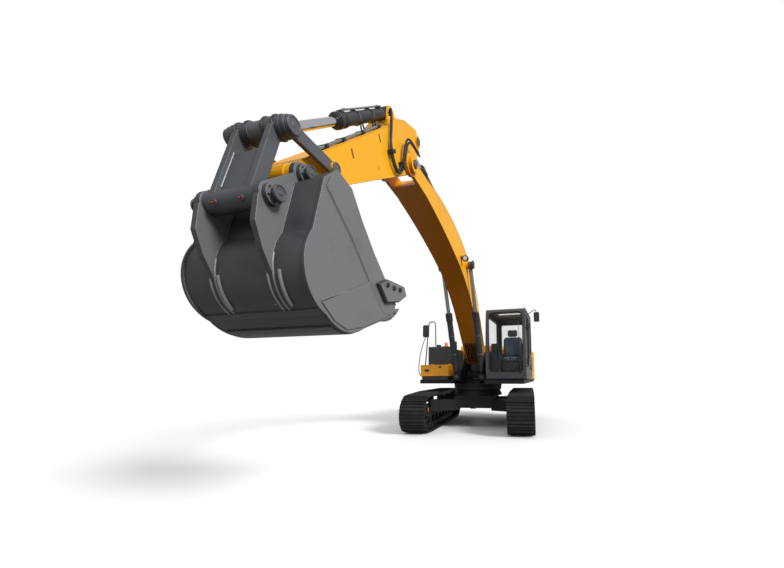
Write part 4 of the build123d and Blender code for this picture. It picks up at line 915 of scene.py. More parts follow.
# ---------------------------------------------------------------- the machine
@dataclass
class Fitter:
    """Puts finished pieces on the frame's bodies."""

    frame: dict[str, object]
    count: int = 0

    def joint(self, name: str) -> tuple[float, float]:
        """The x and z of a joint of the record."""
        found = next(j for j in self.frame["joints"] if j["name"] == name)
        return found["pos_m"][0], found["pos_m"][2]

    def touch(self, node: str, start: Array, way: Array) -> Array:
        """Where a straight line first meets a solid of the frame.

        Args:
            node: the solid's name.
            start: a place outside it.
            way: direction of the line.

        Returns:
            The place, or the start where nothing is met.
        """
        hit, spot, _, _ = self.frame["nodes"][node].ray_cast(Vector(start), Vector(way))
        if not hit:
            LOG.warning("nothing of %s is met from %s", node, np.round(start, 3))
        return np.array(spot) if hit else np.asarray(start, float)

    def link(self, start: str, end: str) -> Side:
        """The side view of a link between two joints."""
        (x0, z0), (x1, z1) = self.joint(start), self.joint(end)
        return Side(x0, z0, math.atan2(z1 - z0, x1 - x0))

    def put(self, name: str, body: str, skins: Iterable[Skin], finish: Finish, slot: str) -> bpy.types.Object:
        """Make a piece that rides on a body, shaded smooth between faces under 40 degrees apart.

        Args:
            name: the piece's name.
            body: the body that it rides on.
            skins: its skins.
            finish: its finish.
            slot: the record's slot that its finish belongs to; not used.

        Returns:
            The piece.
        """
        points, faces = gathered(skins)
        rows = [tuple(dict.fromkeys(f)) for f in faces.tolist()]
        data = bpy.data.meshes.new(name)
        data.from_pydata(points.tolist(), [], rows)
        data.materials.append(finish.material())
        data.polygons.foreach_set("use_smooth", np.ones(len(data.polygons), bool))
        data.set_sharp_from_angle(angle=math.radians(40.0))
        piece = bpy.data.objects.new(name, data)
        bpy.context.scene.collection.objects.link(piece)
        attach(piece, body)
        self.count += 1
        LOG.info("%s: %d faces on %s", name, len(rows), body)
        return piece

    def copies(
        self, name: str, body: str, skin: Skin, places: Array, turns: Array, finish: Finish, slot: str
    ) -> bpy.types.Object:
        """Put copies of one skin as one piece, at places and turned as repeated says."""
        return self.put(name, body, [repeated(skin, places, turns)], finish, slot)

    def pair(
        self, name: str, body: str, skin: Skin, places: Array, reach: float, finish: Finish, slot: str
    ) -> bpy.types.Object:
        """Put copies of a skin out to the left and right of places, each facing away from them."""
        skins = [repeated(skin, places + LEFT * s * reach, standing(LEFT * s)) for s in SIDES]
        return self.put(name, body, skins, finish, slot)

    def tubes(
        self, name: str, body: str, paths: Iterable[Array], radius: float | Array, sides: int,
        finish: Finish, slot: str, **shape: float,
    ) -> bpy.types.Object:
        """Put a tube along each path as one piece, shaped as swept says."""
        return self.put(name, body, [swept(p, radius, sides, **shape) for p in paths], finish, slot)


@dataclass
class FrameFinishes:
    """Which finish each solid of the frame gets, by the start of its name."""

    nodes: dict[str, bpy.types.Object]
    finishes: tuple[tuple[str, Finish], ...] = (
        ("track_", Finish.TRACK), ("idlers", Finish.CASTING), ("sprockets", Finish.CASTING),
        ("rollers", Finish.CASTING), ("swing_bearing", Finish.CASTING),
        ("carbody", Finish.CHASSIS_BLACK), ("side_frame_", Finish.CHASSIS_BLACK),
        ("deck", Finish.CHASSIS_BLACK), ("bucket_cylinder_rod", Finish.BUCKET_ROD),
        ("arm_cylinder_rod", Finish.ARM_ROD), ("boom_cylinder_rod", Finish.BOOM_ROD),
        ("boom_cylinder", Finish.CYLINDER_GREY), ("arm_cylinder", Finish.CYLINDER_GREY),
        ("bucket_cylinder", Finish.CYLINDER_GREY), ("bucket", Finish.DIGGING_GREY),
        ("side_cutters", Finish.DIGGING_GREY), ("h_link", Finish.LINKAGE_GREY),
        ("guide_links", Finish.LINKAGE_GREY), ("boom_lines", Finish.RUBBER),
        ("arm_hoses", Finish.RUBBER), ("cab_shell", Finish.CAB_GREY), ("cab_door", Finish.CAB_GREY),
        ("cab_glass", Finish.GLASS), ("door_glass", Finish.GLASS), ("fuel_tank", Finish.TANK_GREY),
        ("hydraulic_tank", Finish.TANK_GREY), ("controls", Finish.PLASTIC), ("mirrors", Finish.PLASTIC),
        ("exhaust", Finish.CHASSIS_BLACK), ("seat", Finish.SEAT), ("beacon", Finish.AMBER),
        ("engine_block", Finish.ENGINE), ("handrails", Finish.RAIL_GREY), ("boom_lamp", Finish.PLASTIC),
        ("toolbox_lid", Finish.YELLOW), ("toolbox", Finish.TOOLBOX),
    )

    def dress(self) -> None:
        """Give every solid its finish, yellow where none is named."""
        for name, node in self.nodes.items():
            finish = next((f for start, f in self.finishes if name.startswith(start)), Finish.YELLOW)
            node.data.materials.clear()
            node.data.materials.append(finish.material())
            LOG.info("dressed %s", name)


@dataclass
class BucketDress:
    """Welds, wear bars, bolts, caps and plugs on the bucket, in metres in its own side view."""

    side: Side
    ear_faces: tuple[float, float] = (0.238, 0.287)
    bar_middles: tuple[float, float] = (0.345, -0.205)
    ear_bead: float = 0.009
    bar: float = 0.013
    cutter_face: float = 0.6153
    cutter_bolt: float = 0.026
    pin_reach: float = 0.365
    boss_face: float = 0.325
    boss_ring: float = 0.062
    teeth: tuple[float, ...] = (-0.494, -0.247, 0.0, 0.247, 0.494)
    tooth_half: float = 0.042
    pins: tuple[tuple[float, float], ...] = ((0.0, 0.0), (-0.07, 0.446))
    wrapper: tuple[tuple[float, float], ...] = ((0.170, 0.560), (0.330, 0.880), (0.660, 0.935))

    def line(self, rows: Array, y: float, radius: float) -> Skin:
        """A bead along x, z rows at one y."""
        return swept(self.side.at(rows[:, 0], y, rows[:, 1]), radius, 8)

    def build(self, kit: Fitter) -> None:
        """Add the pieces."""
        arc = arc_through(*self.wrapper, 24)
        beads = [self.line(arc[6:22], s * y, self.ear_bead) for s in SIDES for y in self.ear_faces]
        kit.put("bucket_ear_welds", "bucket", beads, Finish.WELD, "bucket_grey")
        bars = [self.line(arc[10:20] + (0.0, 0.006), y, self.bar) for y in self.bar_middles]
        kit.put("bucket_wear_bars", "bucket", bars, Finish.WELD, "bucket_grey")
        seam = np.array([(0.546, 0.908), (0.66, 0.728), (0.80, 0.52), (0.93, 0.31)])
        front = np.array([(0.04, 0.176), (0.504, 0.204), (0.9, 0.272), (1.27, 0.340)])
        beads = [
            self.line(rows, s * y, radius)
            for rows, y, radius in ((seam, 0.5615, 0.007), (front, 0.5625, 0.006)) for s in SIDES
        ]
        kit.put("bucket_side_welds", "bucket", beads, Finish.WELD, "bucket_grey")
        holes = self.side.at([1.12, 1.235, 1.345], 0.0, [0.115, 0.035, -0.055])
        kit.pair(
            "side_cutter_bolts", "bucket", bolt(self.cutter_bolt), holes, self.cutter_face,
            Finish.CASTING, "bucket_grey",
        )
        pins = np.array(self.pins)
        kit.pair(
            "bucket_pin_caps", "bucket", cap(0.062, 0.016), self.side.at(pins[:, 0], 0.0, pins[:, 1]),
            self.pin_reach, Finish.LINKAGE_GREY, "bucket_grey",
        )
        lap = np.linspace(0.0, 2.0 * math.pi, 6, endpoint=False)
        x, z = (pins[:, k, None] + self.boss_ring * wave(lap) for k, wave in enumerate((np.cos, np.sin)))
        kit.pair(
            "bucket_boss_bolts", "bucket", bolt(0.009), self.side.at(x.ravel(), 0.0, z.ravel()),
            self.boss_face, Finish.CASTING, "bucket_grey",
        )
        button = turned(((0.013, 0), (0.013, 0.006), (0.009, 0.009), (0.002, 0.0095)), 16)
        kit.pair(
            "tooth_pins", "bucket", button, self.lip().at(0.092, np.array(self.teeth), -0.004),
            self.tooth_half, Finish.CASTING, "bucket_grey",
        )
        # two drain plugs through the wrapper
        plug = turned(((0.024, -0.01), (0.024, 0.006), (0.018, 0.010), (0.009, 0.005), (0.002, 0.004)), 20)
        kit.copies(
            "bucket_plugs", "bucket", plug, self.side.at([0.538, 0.52], [0.2, -0.2], [0.936, 0.934]),
            standing(self.side.along(0.35, 0.94)), Finish.WELD, "bucket_grey",
        )

    def lip(self) -> Side:
        """The side view whose x axis runs along the cutting edge."""
        x, _, z = self.side.at(1.460, 0.0, 0.195).tolist()
        return Side(x, z, self.side.angle - math.radians(54.2))


@dataclass
class LinkageDress:
    """Caps, rings, grease nipples and welds of the bucket's linkage."""

    low: tuple[float, float]
    high: tuple[float, float]
    guide: tuple[float, float]
    guide_reach: float = 0.300
    boss: float = 0.086
    rings: tuple[float, ...] = (-0.178, -0.085, 0.085, 0.178)
    plate_half: float = 0.139

    def build(self, kit: Fitter) -> None:
        """Add the pieces."""
        grey = Finish.LINKAGE_GREY, "bucket_grey"
        low, top, pin = (np.array([p[0], 0.0, p[1]]) for p in (self.low, self.high, self.guide))
        reach = self.guide_reach
        kit.pair("upper_pin_caps", "guide_link_pair", cap(0.076, 0.014), top, reach, *grey)
        kit.pair("guide_pin_caps", "arm", cap(0.058, 0.012), pin, reach - 0.001, *grey)
        # seal rings along the upper pin, between the bosses
        ring = turned(((0.094, -0.009), (0.100, -0.006), (0.100, 0.006), (0.094, 0.009)), 36)
        kit.copies(
            "upper_pin_rings", "h_link_body", ring, [top + LEFT * y for y in self.rings], standing(LEFT),
            Finish.GLAND_BLACK, "bucket_grey",
        )
        outward = np.array([0.80, 0.0, -0.35])
        outward /= np.linalg.norm(outward)
        base = low + outward * (self.boss - 0.004)
        spots, turn = [base + LEFT * y for y in (0.115, -0.125)], standing(outward)
        cup = turned(
            ((0.026, 0), (0.026, 0.010), (0.021, 0.014), (0.012, 0.014), (0.010, 0.006), (0.002, 0.006)), 20
        )
        stem = turned(
            ((0.009, 0.004, 1), (0.009, 0.014, 1), (0.006, 0.018), (0.006, 0.026), (0.002, 0.028)), 18
        )
        kit.copies("grease_cups", "h_link_body", cup, spots, turn, *grey)
        kit.copies("grease_nipples", "h_link_body", stem, spots, turn, Finish.RED_CAP, "bucket_grey")
        # beads where the cross plate meets the side plates
        run, rise = self.high[0] - self.low[0], self.high[1] - self.low[1]
        view = Side(*self.low, math.atan2(rise, run))
        x = np.linspace(0.10, math.hypot(run, rise) - 0.24, 12)
        beads = [view.at(x, s * self.plate_half, -0.038 + z) for s in SIDES for z in (-0.0135, 0.0135)]
        kit.tubes("cross_plate_welds", "h_link_body", beads, 0.007, 8, Finish.WELD, "bucket_grey")


@dataclass
class ArmDress:
    """Steel lines, plates and welds on the arm, in its own side view."""

    side: Side
    half: float = 0.185
    top: tuple[tuple[float, float], ...] = ((0.430, 0.500), (2.200, 0.178))
    pin_reach: float = 0.300
    tail: tuple[float, float] = (-0.610, 0.330)
    tail_reach: float = 0.199

    def build(self, kit: Fitter) -> None:
        """Add the pieces."""
        # steel lines in clamps along the top plate
        (x0, z0), (x1, z1) = self.top
        slope = (z1 - z0) / (x1 - x0)
        x = np.linspace(0.56, 2.12, 14)
        z = z0 + (x - x0) * slope
        lines = [self.side.at(x, y, z + 0.026) for y in (0.105, 0.145)]
        kit.tubes("arm_lines", "arm", lines, 0.014, 12, Finish.PIPE_GREY, "bucket_grey")
        held = [1, 5, 9, 12]
        kit.copies(
            "arm_line_clamps", "arm", slab(0.105, 0.045, 0.044, 0.006, 0.004),
            self.side.at(x[held], 0.125, z[held] - 0.001),
            standing(self.side.along(-slope, 1.0), self.side.along(1.0, slope)), Finish.PLASTIC, "plastic",
        )
        # long corner welds just inside the side plates' rims
        low = np.array([(0.05, -0.118), (0.6, -0.121), (1.3, -0.122), (1.95, -0.124), (2.5, -0.113)])
        high = np.array([(0.20, 0.598), (0.43, 0.500), (1.2, 0.3585), (2.2, 0.178), (2.55, 0.113)])
        beads = corner_lines(self.side, self.half, (low, high))
        kit.tubes("arm_corner_welds", "arm", beads, 0.0055, 8, Finish.YELLOW_WELD, "yellow")
        # small blank plates, and the bracket that guides the hoses beside the bucket cylinder
        face = self.half - 0.0005
        kit.copies(
            "arm_marker_plates", "arm", slab(0.095, 0.030, 0.003, 0.004, 0.001),
            self.side.at([1.579, 0.798], face, [0.169, 0.335]),
            np.stack([self.side.along(0, 1), self.side.along(1, 0), LEFT], -1), Finish.MARKER, "yellow",
        )
        plug = turned(((0.022, 0), (0.022, 0.004), (0.018, 0.007), (0.008, 0.004), (0.002, 0.004)), 20)
        kit.copies(
            "arm_side_plug", "arm", plug, self.side.at(1.0, face, 0.005), standing(LEFT),
            Finish.YELLOW_WELD, "yellow",
        )
        bend = smoothed(self.side.at([0.60, 0.615, 0.66, 0.70], 0.0, [0.447, 0.545, 0.560, 0.430]), 24)
        hoops = [bend + LEFT * y for y in (0.085, -0.085)]
        kit.tubes("arm_hose_bracket", "arm", hoops, 0.010, 10, Finish.CHASSIS_BLACK, "black_paint")
        for name, body, radius, (along, above), reach in (
            ("arm_pin_caps", "boom", 0.062, (0.0, 0.0), self.pin_reach),
            ("arm_tail_pin_caps", "arm", 0.060, self.tail, self.tail_reach),
        ):
            place = self.side.at(along, 0.0, above)
            kit.pair(name, body, cap(radius, 0.014), place, reach, Finish.LINKAGE_GREY, "bucket_grey")


@dataclass
class BoomDress:
    """Welds, hoses and pin caps on the boom, in its own side view."""

    side: Side
    length: float = 5.716
    half: float = 0.240
    rod_pin: tuple[float, float] = (0.4622, 0.936)
    rod_reach: float = 0.379
    base_pin: tuple[float, float] = (0.5161, 1.420)
    base_reach: float = 0.1105

    def build(self, kit: Fitter) -> None:
        """Add the pieces."""
        span = self.length
        low = (
            (0.236 * span, 0.300), (0.367 * span, 0.490), (0.525 * span, 0.530), (0.717 * span, 0.362),
            (span - 0.616, 0.118),
        )
        high = (
            (0.219 * span, 0.830), (0.376 * span, 1.120), (0.542 * span, 1.140), (0.744 * span, 0.850),
            (span - 0.516, 0.400),
        )
        edges = [np.vstack([arc_through(*r[:3], 20), arc_through(*r[2:], 20)[1:]]) for r in (low, high)]
        beads = corner_lines(self.side, self.half, edges)
        kit.tubes("boom_corner_welds", "boom", beads, 0.006, 8, Finish.YELLOW_WELD, "yellow")
        # hoses that run up the underside from the foot
        along, above = [0.090, 0.120, 0.350, 0.620, 0.680], [-0.160, -0.150, -0.071, 0.0234, 0.075]
        lie = smoothed(self.side.at(along, 0.0, above), 30)
        hoses = [lie + LEFT * y for y in HOSE_ROW]
        kit.tubes("boom_foot_hoses", "boom", hoses, HOSE, 12, Finish.RUBBER, "rubber")
        collar = turned(
            ((0.070, 0), (0.098, 0.004), (0.098, 0.022), (0.088, 0.034), (0.050, 0.036), (0.045, 0.028),
             (0.005, 0.028)), 36,
        )
        rod, base = (self.side.at(share * span, 0.0, z) for share, z in (self.rod_pin, self.base_pin))
        kit.pair(
            "boom_rod_pin_caps", "boom", collar, rod, self.rod_reach, Finish.GLAND_BLACK, "black_paint"
        )
        kit.pair(
            "arm_cylinder_pin_caps", "boom", cap(0.056, 0.013), base, self.base_reach,
            Finish.LINKAGE_GREY, "bucket_grey",
        )


@dataclass
class LampDress:
    """The boom's lamp: a rim and a lens of its own on its housing."""

    name: str
    body: str
    place: Point
    axis: Point
    radius: float

    def build(self, kit: Fitter) -> None:
        """Add the rim and the lens."""
        rim = ((1, 0), (1.06, 0.006), (1.06, 0.014), (0.98, 0.018), (0.90, 0.012), (0.88, 0.002))
        lens = ((0.90, 0.004), (0.84, 0.010), (0.6, 0.015), (0.3, 0.018), (0.04, 0.019))
        for part, profile, finish, slot in (
            ("rim", rim, Finish.GLAND_BLACK, "plastic"), ("lens", lens, Finish.LAMP, "glass"),
        ):
            skin = turned([(self.radius * share, height) for share, height in profile], 32)
            kit.copies(f"{self.name}_{part}", self.body, skin, self.place, standing(self.axis), finish, slot)


@dataclass
class CabDress:
    """Seals, wiper, handles, levers and fittings of the cab."""

    inner: float = 0.467
    outer: float = 1.442
    middle: float = 0.9545
    roof: float = 2.960
    lever_reach: float = 0.32
    console: float = 1.858
    monitor: Point = (0.705, 0.645, 2.015)
    switches: int = 3

    def face(self, z: Array) -> Array:
        """The windscreen's x at a height, from the circle of the cab's bowed front and its brow."""
        bow = arc_through((1.160, 1.240), (1.180, 1.900), (1.090, 2.841), 40)
        bow = np.vstack([bow, [(1.0484, 2.9243), (0.971, self.roof)]])
        return np.interp(z, bow[:, 1], bow[:, 0])

    @staticmethod
    def loop(u: float, v: float, wide: float, high: float, corner: float, count: int = 96) -> Array:
        """A rectangle with round corners: each corner's quarter circle, then the straight to the next."""
        turn = (np.arange(count) + 0.5) * 2.0 * math.pi / count
        x = u + np.sign(np.cos(turn)) * (wide / 2.0 - corner) + corner * np.cos(turn)
        y = v + np.sign(np.sin(turn)) * (high / 2.0 - corner) + corner * np.sin(turn)
        return np.stack([x, y], -1)

    @staticmethod
    def between(ring: Array, most: float = 0.05) -> Array:
        """The same closed ring with places added on its long straights, evenly by length."""
        step = np.roll(ring, -1, 0) - ring
        length = np.linalg.norm(step, axis=1)
        number = np.maximum(1, np.ceil(length / most).astype(int))
        which = np.repeat(np.arange(len(ring)), number)
        share = (np.arange(len(which)) - np.repeat(np.cumsum(number) - number, number)) / number[which]
        return ring[which] + step[which] * share[:, None]

    def seals(self, kit: Fitter) -> None:
        """Rubber round every pane: a closed tube along a round-cornered rectangle."""
        ring = self.loop(self.middle, 2.130, 0.845, 1.480, 0.110)
        rows = self.between(ring[np.linalg.norm(np.roll(ring, 1, 0) - ring, axis=1) > 1e-6])
        paths = [("windscreen", "house", np.column_stack([self.face(rows[:, 1]) - 0.010, rows]), 0.011)]
        for name, body, axis, level, radius, shape in (
            ("door", "cab_door_leaf", 1, self.outer - 0.010, 0.009, (0.525, 2.250, 0.830, 1.100, 0.050)),
            ("quarter", "house", 1, self.outer - 0.010, 0.009, (-0.280, 2.330, 0.420, 0.900, 0.060)),
            ("right", "house", 1, self.inner + 0.010, 0.009, (0.280, 2.290, 1.400, 0.980, 0.060)),
            ("rear", "house", 0, -0.580, 0.009, (self.middle, 2.330, 0.720, 0.860, 0.060)),
            ("hatch", "house", 2, self.roof - 0.006, 0.010, (0.330, self.middle, 0.560, 0.620, 0.050)),
        ):
            path = np.insert(self.between(self.loop(*shape)), axis, level, axis=1)
            paths.append((name, body, path, radius))
        for name, body, path, radius in paths:
            kit.tubes(f"{name}_seal", body, [path], radius, 8, Finish.RUBBER, "rubber", closed=True)

    def outside(self, kit: Fitter) -> None:
        """Wiper, handles, grab rail, aerial, roof panel, gutters and sill."""
        black, wall = (Finish.PLASTIC, "plastic"), self.outer
        pivot = 1.405
        z = np.array([pivot, 1.60, 1.95, 2.25])
        arm = smoothed(np.column_stack([self.face(z) + 0.016, (1.315, 1.30, 1.295, 1.29), z]), 24)
        z = np.linspace(1.75, 2.62, 16)
        blade = np.column_stack([self.face(z) + 0.004, np.full(16, 1.283), z])
        knob = turned(((0.024, 0), (0.024, 0.012), (0.018, 0.022), (0.004, 0.026)), 20)
        hub = repeated(knob, (self.face(pivot) - 0.004, 1.315, 1.400), standing(FORWARD))
        wiper = [swept(arm, np.linspace(0.009, 0.005, 24), 10), swept(blade, 0.007, 8, flat=0.6), hub]
        kit.put("wiper", "house", wiper, *black)
        rail = smoothed(
            [(1.085, 1.440, 1.52), (1.090, 1.492, 1.56), (1.092, 1.500, 1.85), (1.080, 1.500, 2.20),
             (1.062, 1.492, 2.42), (1.055, 1.440, 2.46)], 40,
        )
        foot = turned(((0.022, 0), (0.022, 0.006), (0.014, 0.010), (0.004, 0.010)), 16)
        feet = repeated(foot, rail[[0, -1]] * (1, 0, 1) + (0, 1.4405, 0), standing(LEFT))
        kit.put("cab_grab_rail", "house", [swept(rail, 0.011, 12), feet], Finish.CHASSIS_BLACK, "black_paint")
        lock = turned(((0.013, 0), (0.013, 0.006), (0.009, 0.008), (0.002, 0.008)), 20)
        handle = [
            repeated(slab(0.026, 0.14, 0.012, 0.01, 0.004), (0.965, wall + 0.022, 1.640), beside(1)),
            repeated(lock, (0.965, wall + 0.021, 1.535), standing(LEFT)),
        ]
        kit.put("cab_door_handle", "cab_door_leaf", handle, *black)
        aerial = turned(((0.016, 0), (0.016, 0.02), (0.005, 0.035), (0.0035, 0.14), (0.001, 0.141)), 12)
        kit.copies("aerial", "house", aerial, (0.78, 1.385, self.roof - 0.004), LEVEL, *black)
        paint = Finish.CAB_GREY, "cab_grey"
        panel = slab(0.34, 0.62, 0.022, 0.05, 0.009, 0.006)
        kit.copies("roof_panel", "house", panel, (-0.19, self.middle, self.roof - 0.003), LEVEL, *paint)
        high = self.roof - 0.062
        edges = wall + 0.004, self.inner - 0.004
        gutters = [np.linspace((-0.46, y, high), (0.90, y, high), 30) for y in edges]
        kit.tubes("rain_gutter", "house", gutters, 0.010, 8, *paint)
        steel = Finish.CASTING, "cab_grey"
        rows = [(x, wall + 0.0005, z) for x in (-0.50, 1.06) for z in (1.30, 2.86)]
        kit.copies("cab_side_bolts", "house", bolt(0.011), rows, standing(LEFT), *steel)
        low = 1.33
        rows = [(self.face(low) - 0.001, y, low) for y in (0.50, 1.41)]
        kit.copies("cab_front_bolts", "house", bolt(0.010), rows, standing(FORWARD), *steel)
        # a plate on the sill under the door
        kit.copies(
            "door_sill_plate", "house", slab(0.62, 0.05, 0.004, 0.01, 0.0015), (0.62, wall - 0.028, 1.294),
            LEVEL, Finish.RAIL_GREY, "tank_grey",
        )

    def inside(self, kit: Fitter) -> None:
        """Levers with bellows, monitor, pedals, armrests and switches."""
        grip = turned(
            ((0.016, 0), (0.019, 0.02), (0.024, 0.05), (0.021, 0.08), (0.026, 0.11), (0.030, 0.135),
             (0.024, 0.155), (0.008, 0.165)), 28,
        )
        k = np.arange(13)
        folds = np.stack([0.062 - 0.0028 * k - 0.007 * (k % 2), 0.0075 * k], -1)
        folds[-1, 0] = 0.018
        facing = standing((-0.97, 0.10, 0.22))
        middle, reach = self.middle, self.lever_reach
        switches = [(0.12 - 0.032 * k, middle - 0.355, self.console + 0.0022) for k in range(self.switches)]
        for name, skin, places, turn, finish, slot in (
            ("lever_grips", grip, both(0.260, middle, reach, 1.985), standing((0.12, 0, 1)),
             Finish.RUBBER, "plastic"),
            ("lever_bellows", turned(folds, 32), both(0.260, middle, reach, self.console), LEVEL,
             Finish.RUBBER, "rubber"),
            ("monitor_case", slab(0.25, 0.19, 0.03, 0.02, 0.007), self.monitor, facing,
             Finish.PLASTIC, "plastic"),
            ("monitor_screen", slab(0.20, 0.14, 0.002, 0.006, 0.0006), self.monitor + facing[:, 2] * 0.0300,
             facing, Finish.SCREEN, "glass"),
            ("pedal_treads", slab(0.20, 0.085, 0.012, 0.015, 0.004), both(0.690, middle, 0.075, 1.425),
             standing((-0.45, 0, 0.9)), Finish.RUBBER, "rubber"),
            ("armrest_tops", slab(0.34, 0.075, 0.045, 0.03, 0.014, 0.004),
             both(-0.02, middle, reach, self.console), LEVEL, Finish.RUBBER, "plastic"),
            ("console_switches", slab(0.022, 0.015, 0.010, 0.004, 0.003), switches, LEVEL,
             Finish.SCREEN, "plastic"),
        ):
            kit.copies(name, "house", skin, places, turn, finish, slot)

    def build(self, kit: Fitter) -> None:
        """Add all of it."""
        self.seals(kit)
        self.outside(kit)
        self.inside(kit)


@dataclass
class SeatDress:
    """The operator's seat: cloth cushions blown up by a short simulation, on a moulded shell."""

    middle: float = 0.9545
    voxel: float = 0.006
    pressure: float = 4.0
    stiffness: float = 12.0
    steps: int = 20
    limit: float = 0.024

    def cushion(self, kit: Fitter, name: str, place: Point, turn: Array, size: Point) -> None:
        """One cushion.

        Args:
            kit: where it is made.
            name: its name.
            place: middle of its lower face.
            turn: its axes as columns.
            size: length, width and thickness.
        """
        length, width, thick = size
        points, faces = slab(length, width, thick, min(length, width) * 0.28, thick * 0.36, thick * 0.10)
        # two sewn channels: the upper face dips by a Gaussian of the distance from each
        across = points[:, 1] / width
        lift = (points[:, 2] > thick * 0.8) * thick * 0.09
        points[:, 2] -= lift * sum(np.exp(-(((across - 0.27 * s) / 0.03) ** 2)) for s in SIDES)
        piece = kit.copies(name, "house", (points, faces), place, turn, Finish.SEAT, "seat")
        self.blow(piece)
        soft = piece.modifiers.new("soft", "SUBSURF")
        soft.levels = soft.render_levels = 1
        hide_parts("seat")

    def blow(self, piece: bpy.types.Object) -> None:
        """Remesh a cushion and let cloth under pressure settle, each point moving no further than a limit."""
        remesh = piece.modifiers.new("even", "REMESH")
        remesh.mode, remesh.voxel_size = "VOXEL", self.voxel
        scene = bpy.context.scene
        graph = bpy.context.evaluated_depsgraph_get()
        even = bpy.data.meshes.new_from_object(piece.evaluated_get(graph))
        piece.modifiers.remove(remesh)
        even.materials.clear()
        even.materials.append(Finish.SEAT.material())
        old, piece.data = piece.data, even
        bpy.data.meshes.remove(old)
        start = np.empty(len(even.vertices) * 3)
        even.vertices.foreach_get("co", start)
        cloth = piece.modifiers.new("cloth", "CLOTH")
        cloth.settings.quality = 5
        cloth.settings.use_pressure = True
        cloth.settings.uniform_pressure_force = self.pressure
        cloth.settings.effector_weights.gravity = 0.0
        cloth.settings.tension_stiffness = cloth.settings.compression_stiffness = self.stiffness
        cloth.point_cache.frame_start, cloth.point_cache.frame_end = 1, self.steps
        for step in range(1, self.steps + 1):
            scene.frame_set(step)
        graph = bpy.context.evaluated_depsgraph_get()
        blown = bpy.data.meshes.new_from_object(piece.evaluated_get(graph))
        end = np.empty(len(start))
        blown.vertices.foreach_get("co", end)
        move = (end - start).reshape(-1, 3)
        far = np.linalg.norm(move, axis=1, keepdims=True)
        move *= np.minimum(1.0, self.limit / np.maximum(far, 1e-9))
        piece.modifiers.remove(cloth)
        even.vertices.foreach_set("co", (start.reshape(-1, 3) + move).ravel())
        even.polygons.foreach_set("use_smooth", np.ones(len(even.polygons), bool))
        even.update()
        bpy.data.meshes.remove(blown)
        scene.frame_set(1)
        LOG.info("%s: blown up, at most %.1f mm", piece.name, float(far.max()) * 1000.0)

    def build(self, kit: Fitter) -> None:
        """Add the cushions, their shell and pan, the headrest's posts and the belts' buckles."""
        middle, black = self.middle, (Finish.PLASTIC, "plastic")
        lean = np.array([0.980, 0.0, 0.199])
        back = np.stack([np.cross(LEFT, lean), LEFT, lean], -1)
        self.cushion(kit, "seat_cushion", (0.055, middle, 1.690), LEVEL, (0.46, 0.44, 0.085))
        self.cushion(kit, "seat_back", (-0.230, middle, 2.075), back, (0.56, 0.48, 0.085))
        self.cushion(kit, "seat_headrest", (-0.290, middle, 2.470), back, (0.20, 0.27, 0.080))
        shell, pan = slab(0.60, 0.52, 0.04, 0.10, 0.014), slab(0.50, 0.48, 0.030, 0.07, 0.012)
        kit.copies("seat_back_shell", "house", shell, (-0.270, middle, 2.075), back, *black)
        kit.copies("seat_pan", "house", pan, (0.045, middle, 1.671), LEVEL, *black)
        post = (-0.262, 2.28), (-0.276, 2.36), (-0.286, 2.44)
        posts = [smoothed([(x, middle + s * 0.055, z) for x, z in post], 8) for s in SIDES]
        kit.tubes("headrest_posts", "house", posts, 0.007, 12, Finish.RAIL_GREY, "plastic")
        kit.copies(
            "belt_buckles", "house", slab(0.05, 0.022, 0.07, 0.006, 0.004), both(-0.10, middle, 0.238, 1.745),
            standing((0.25, 0, 0.97)), Finish.GLAND_BLACK, "plastic",
        )


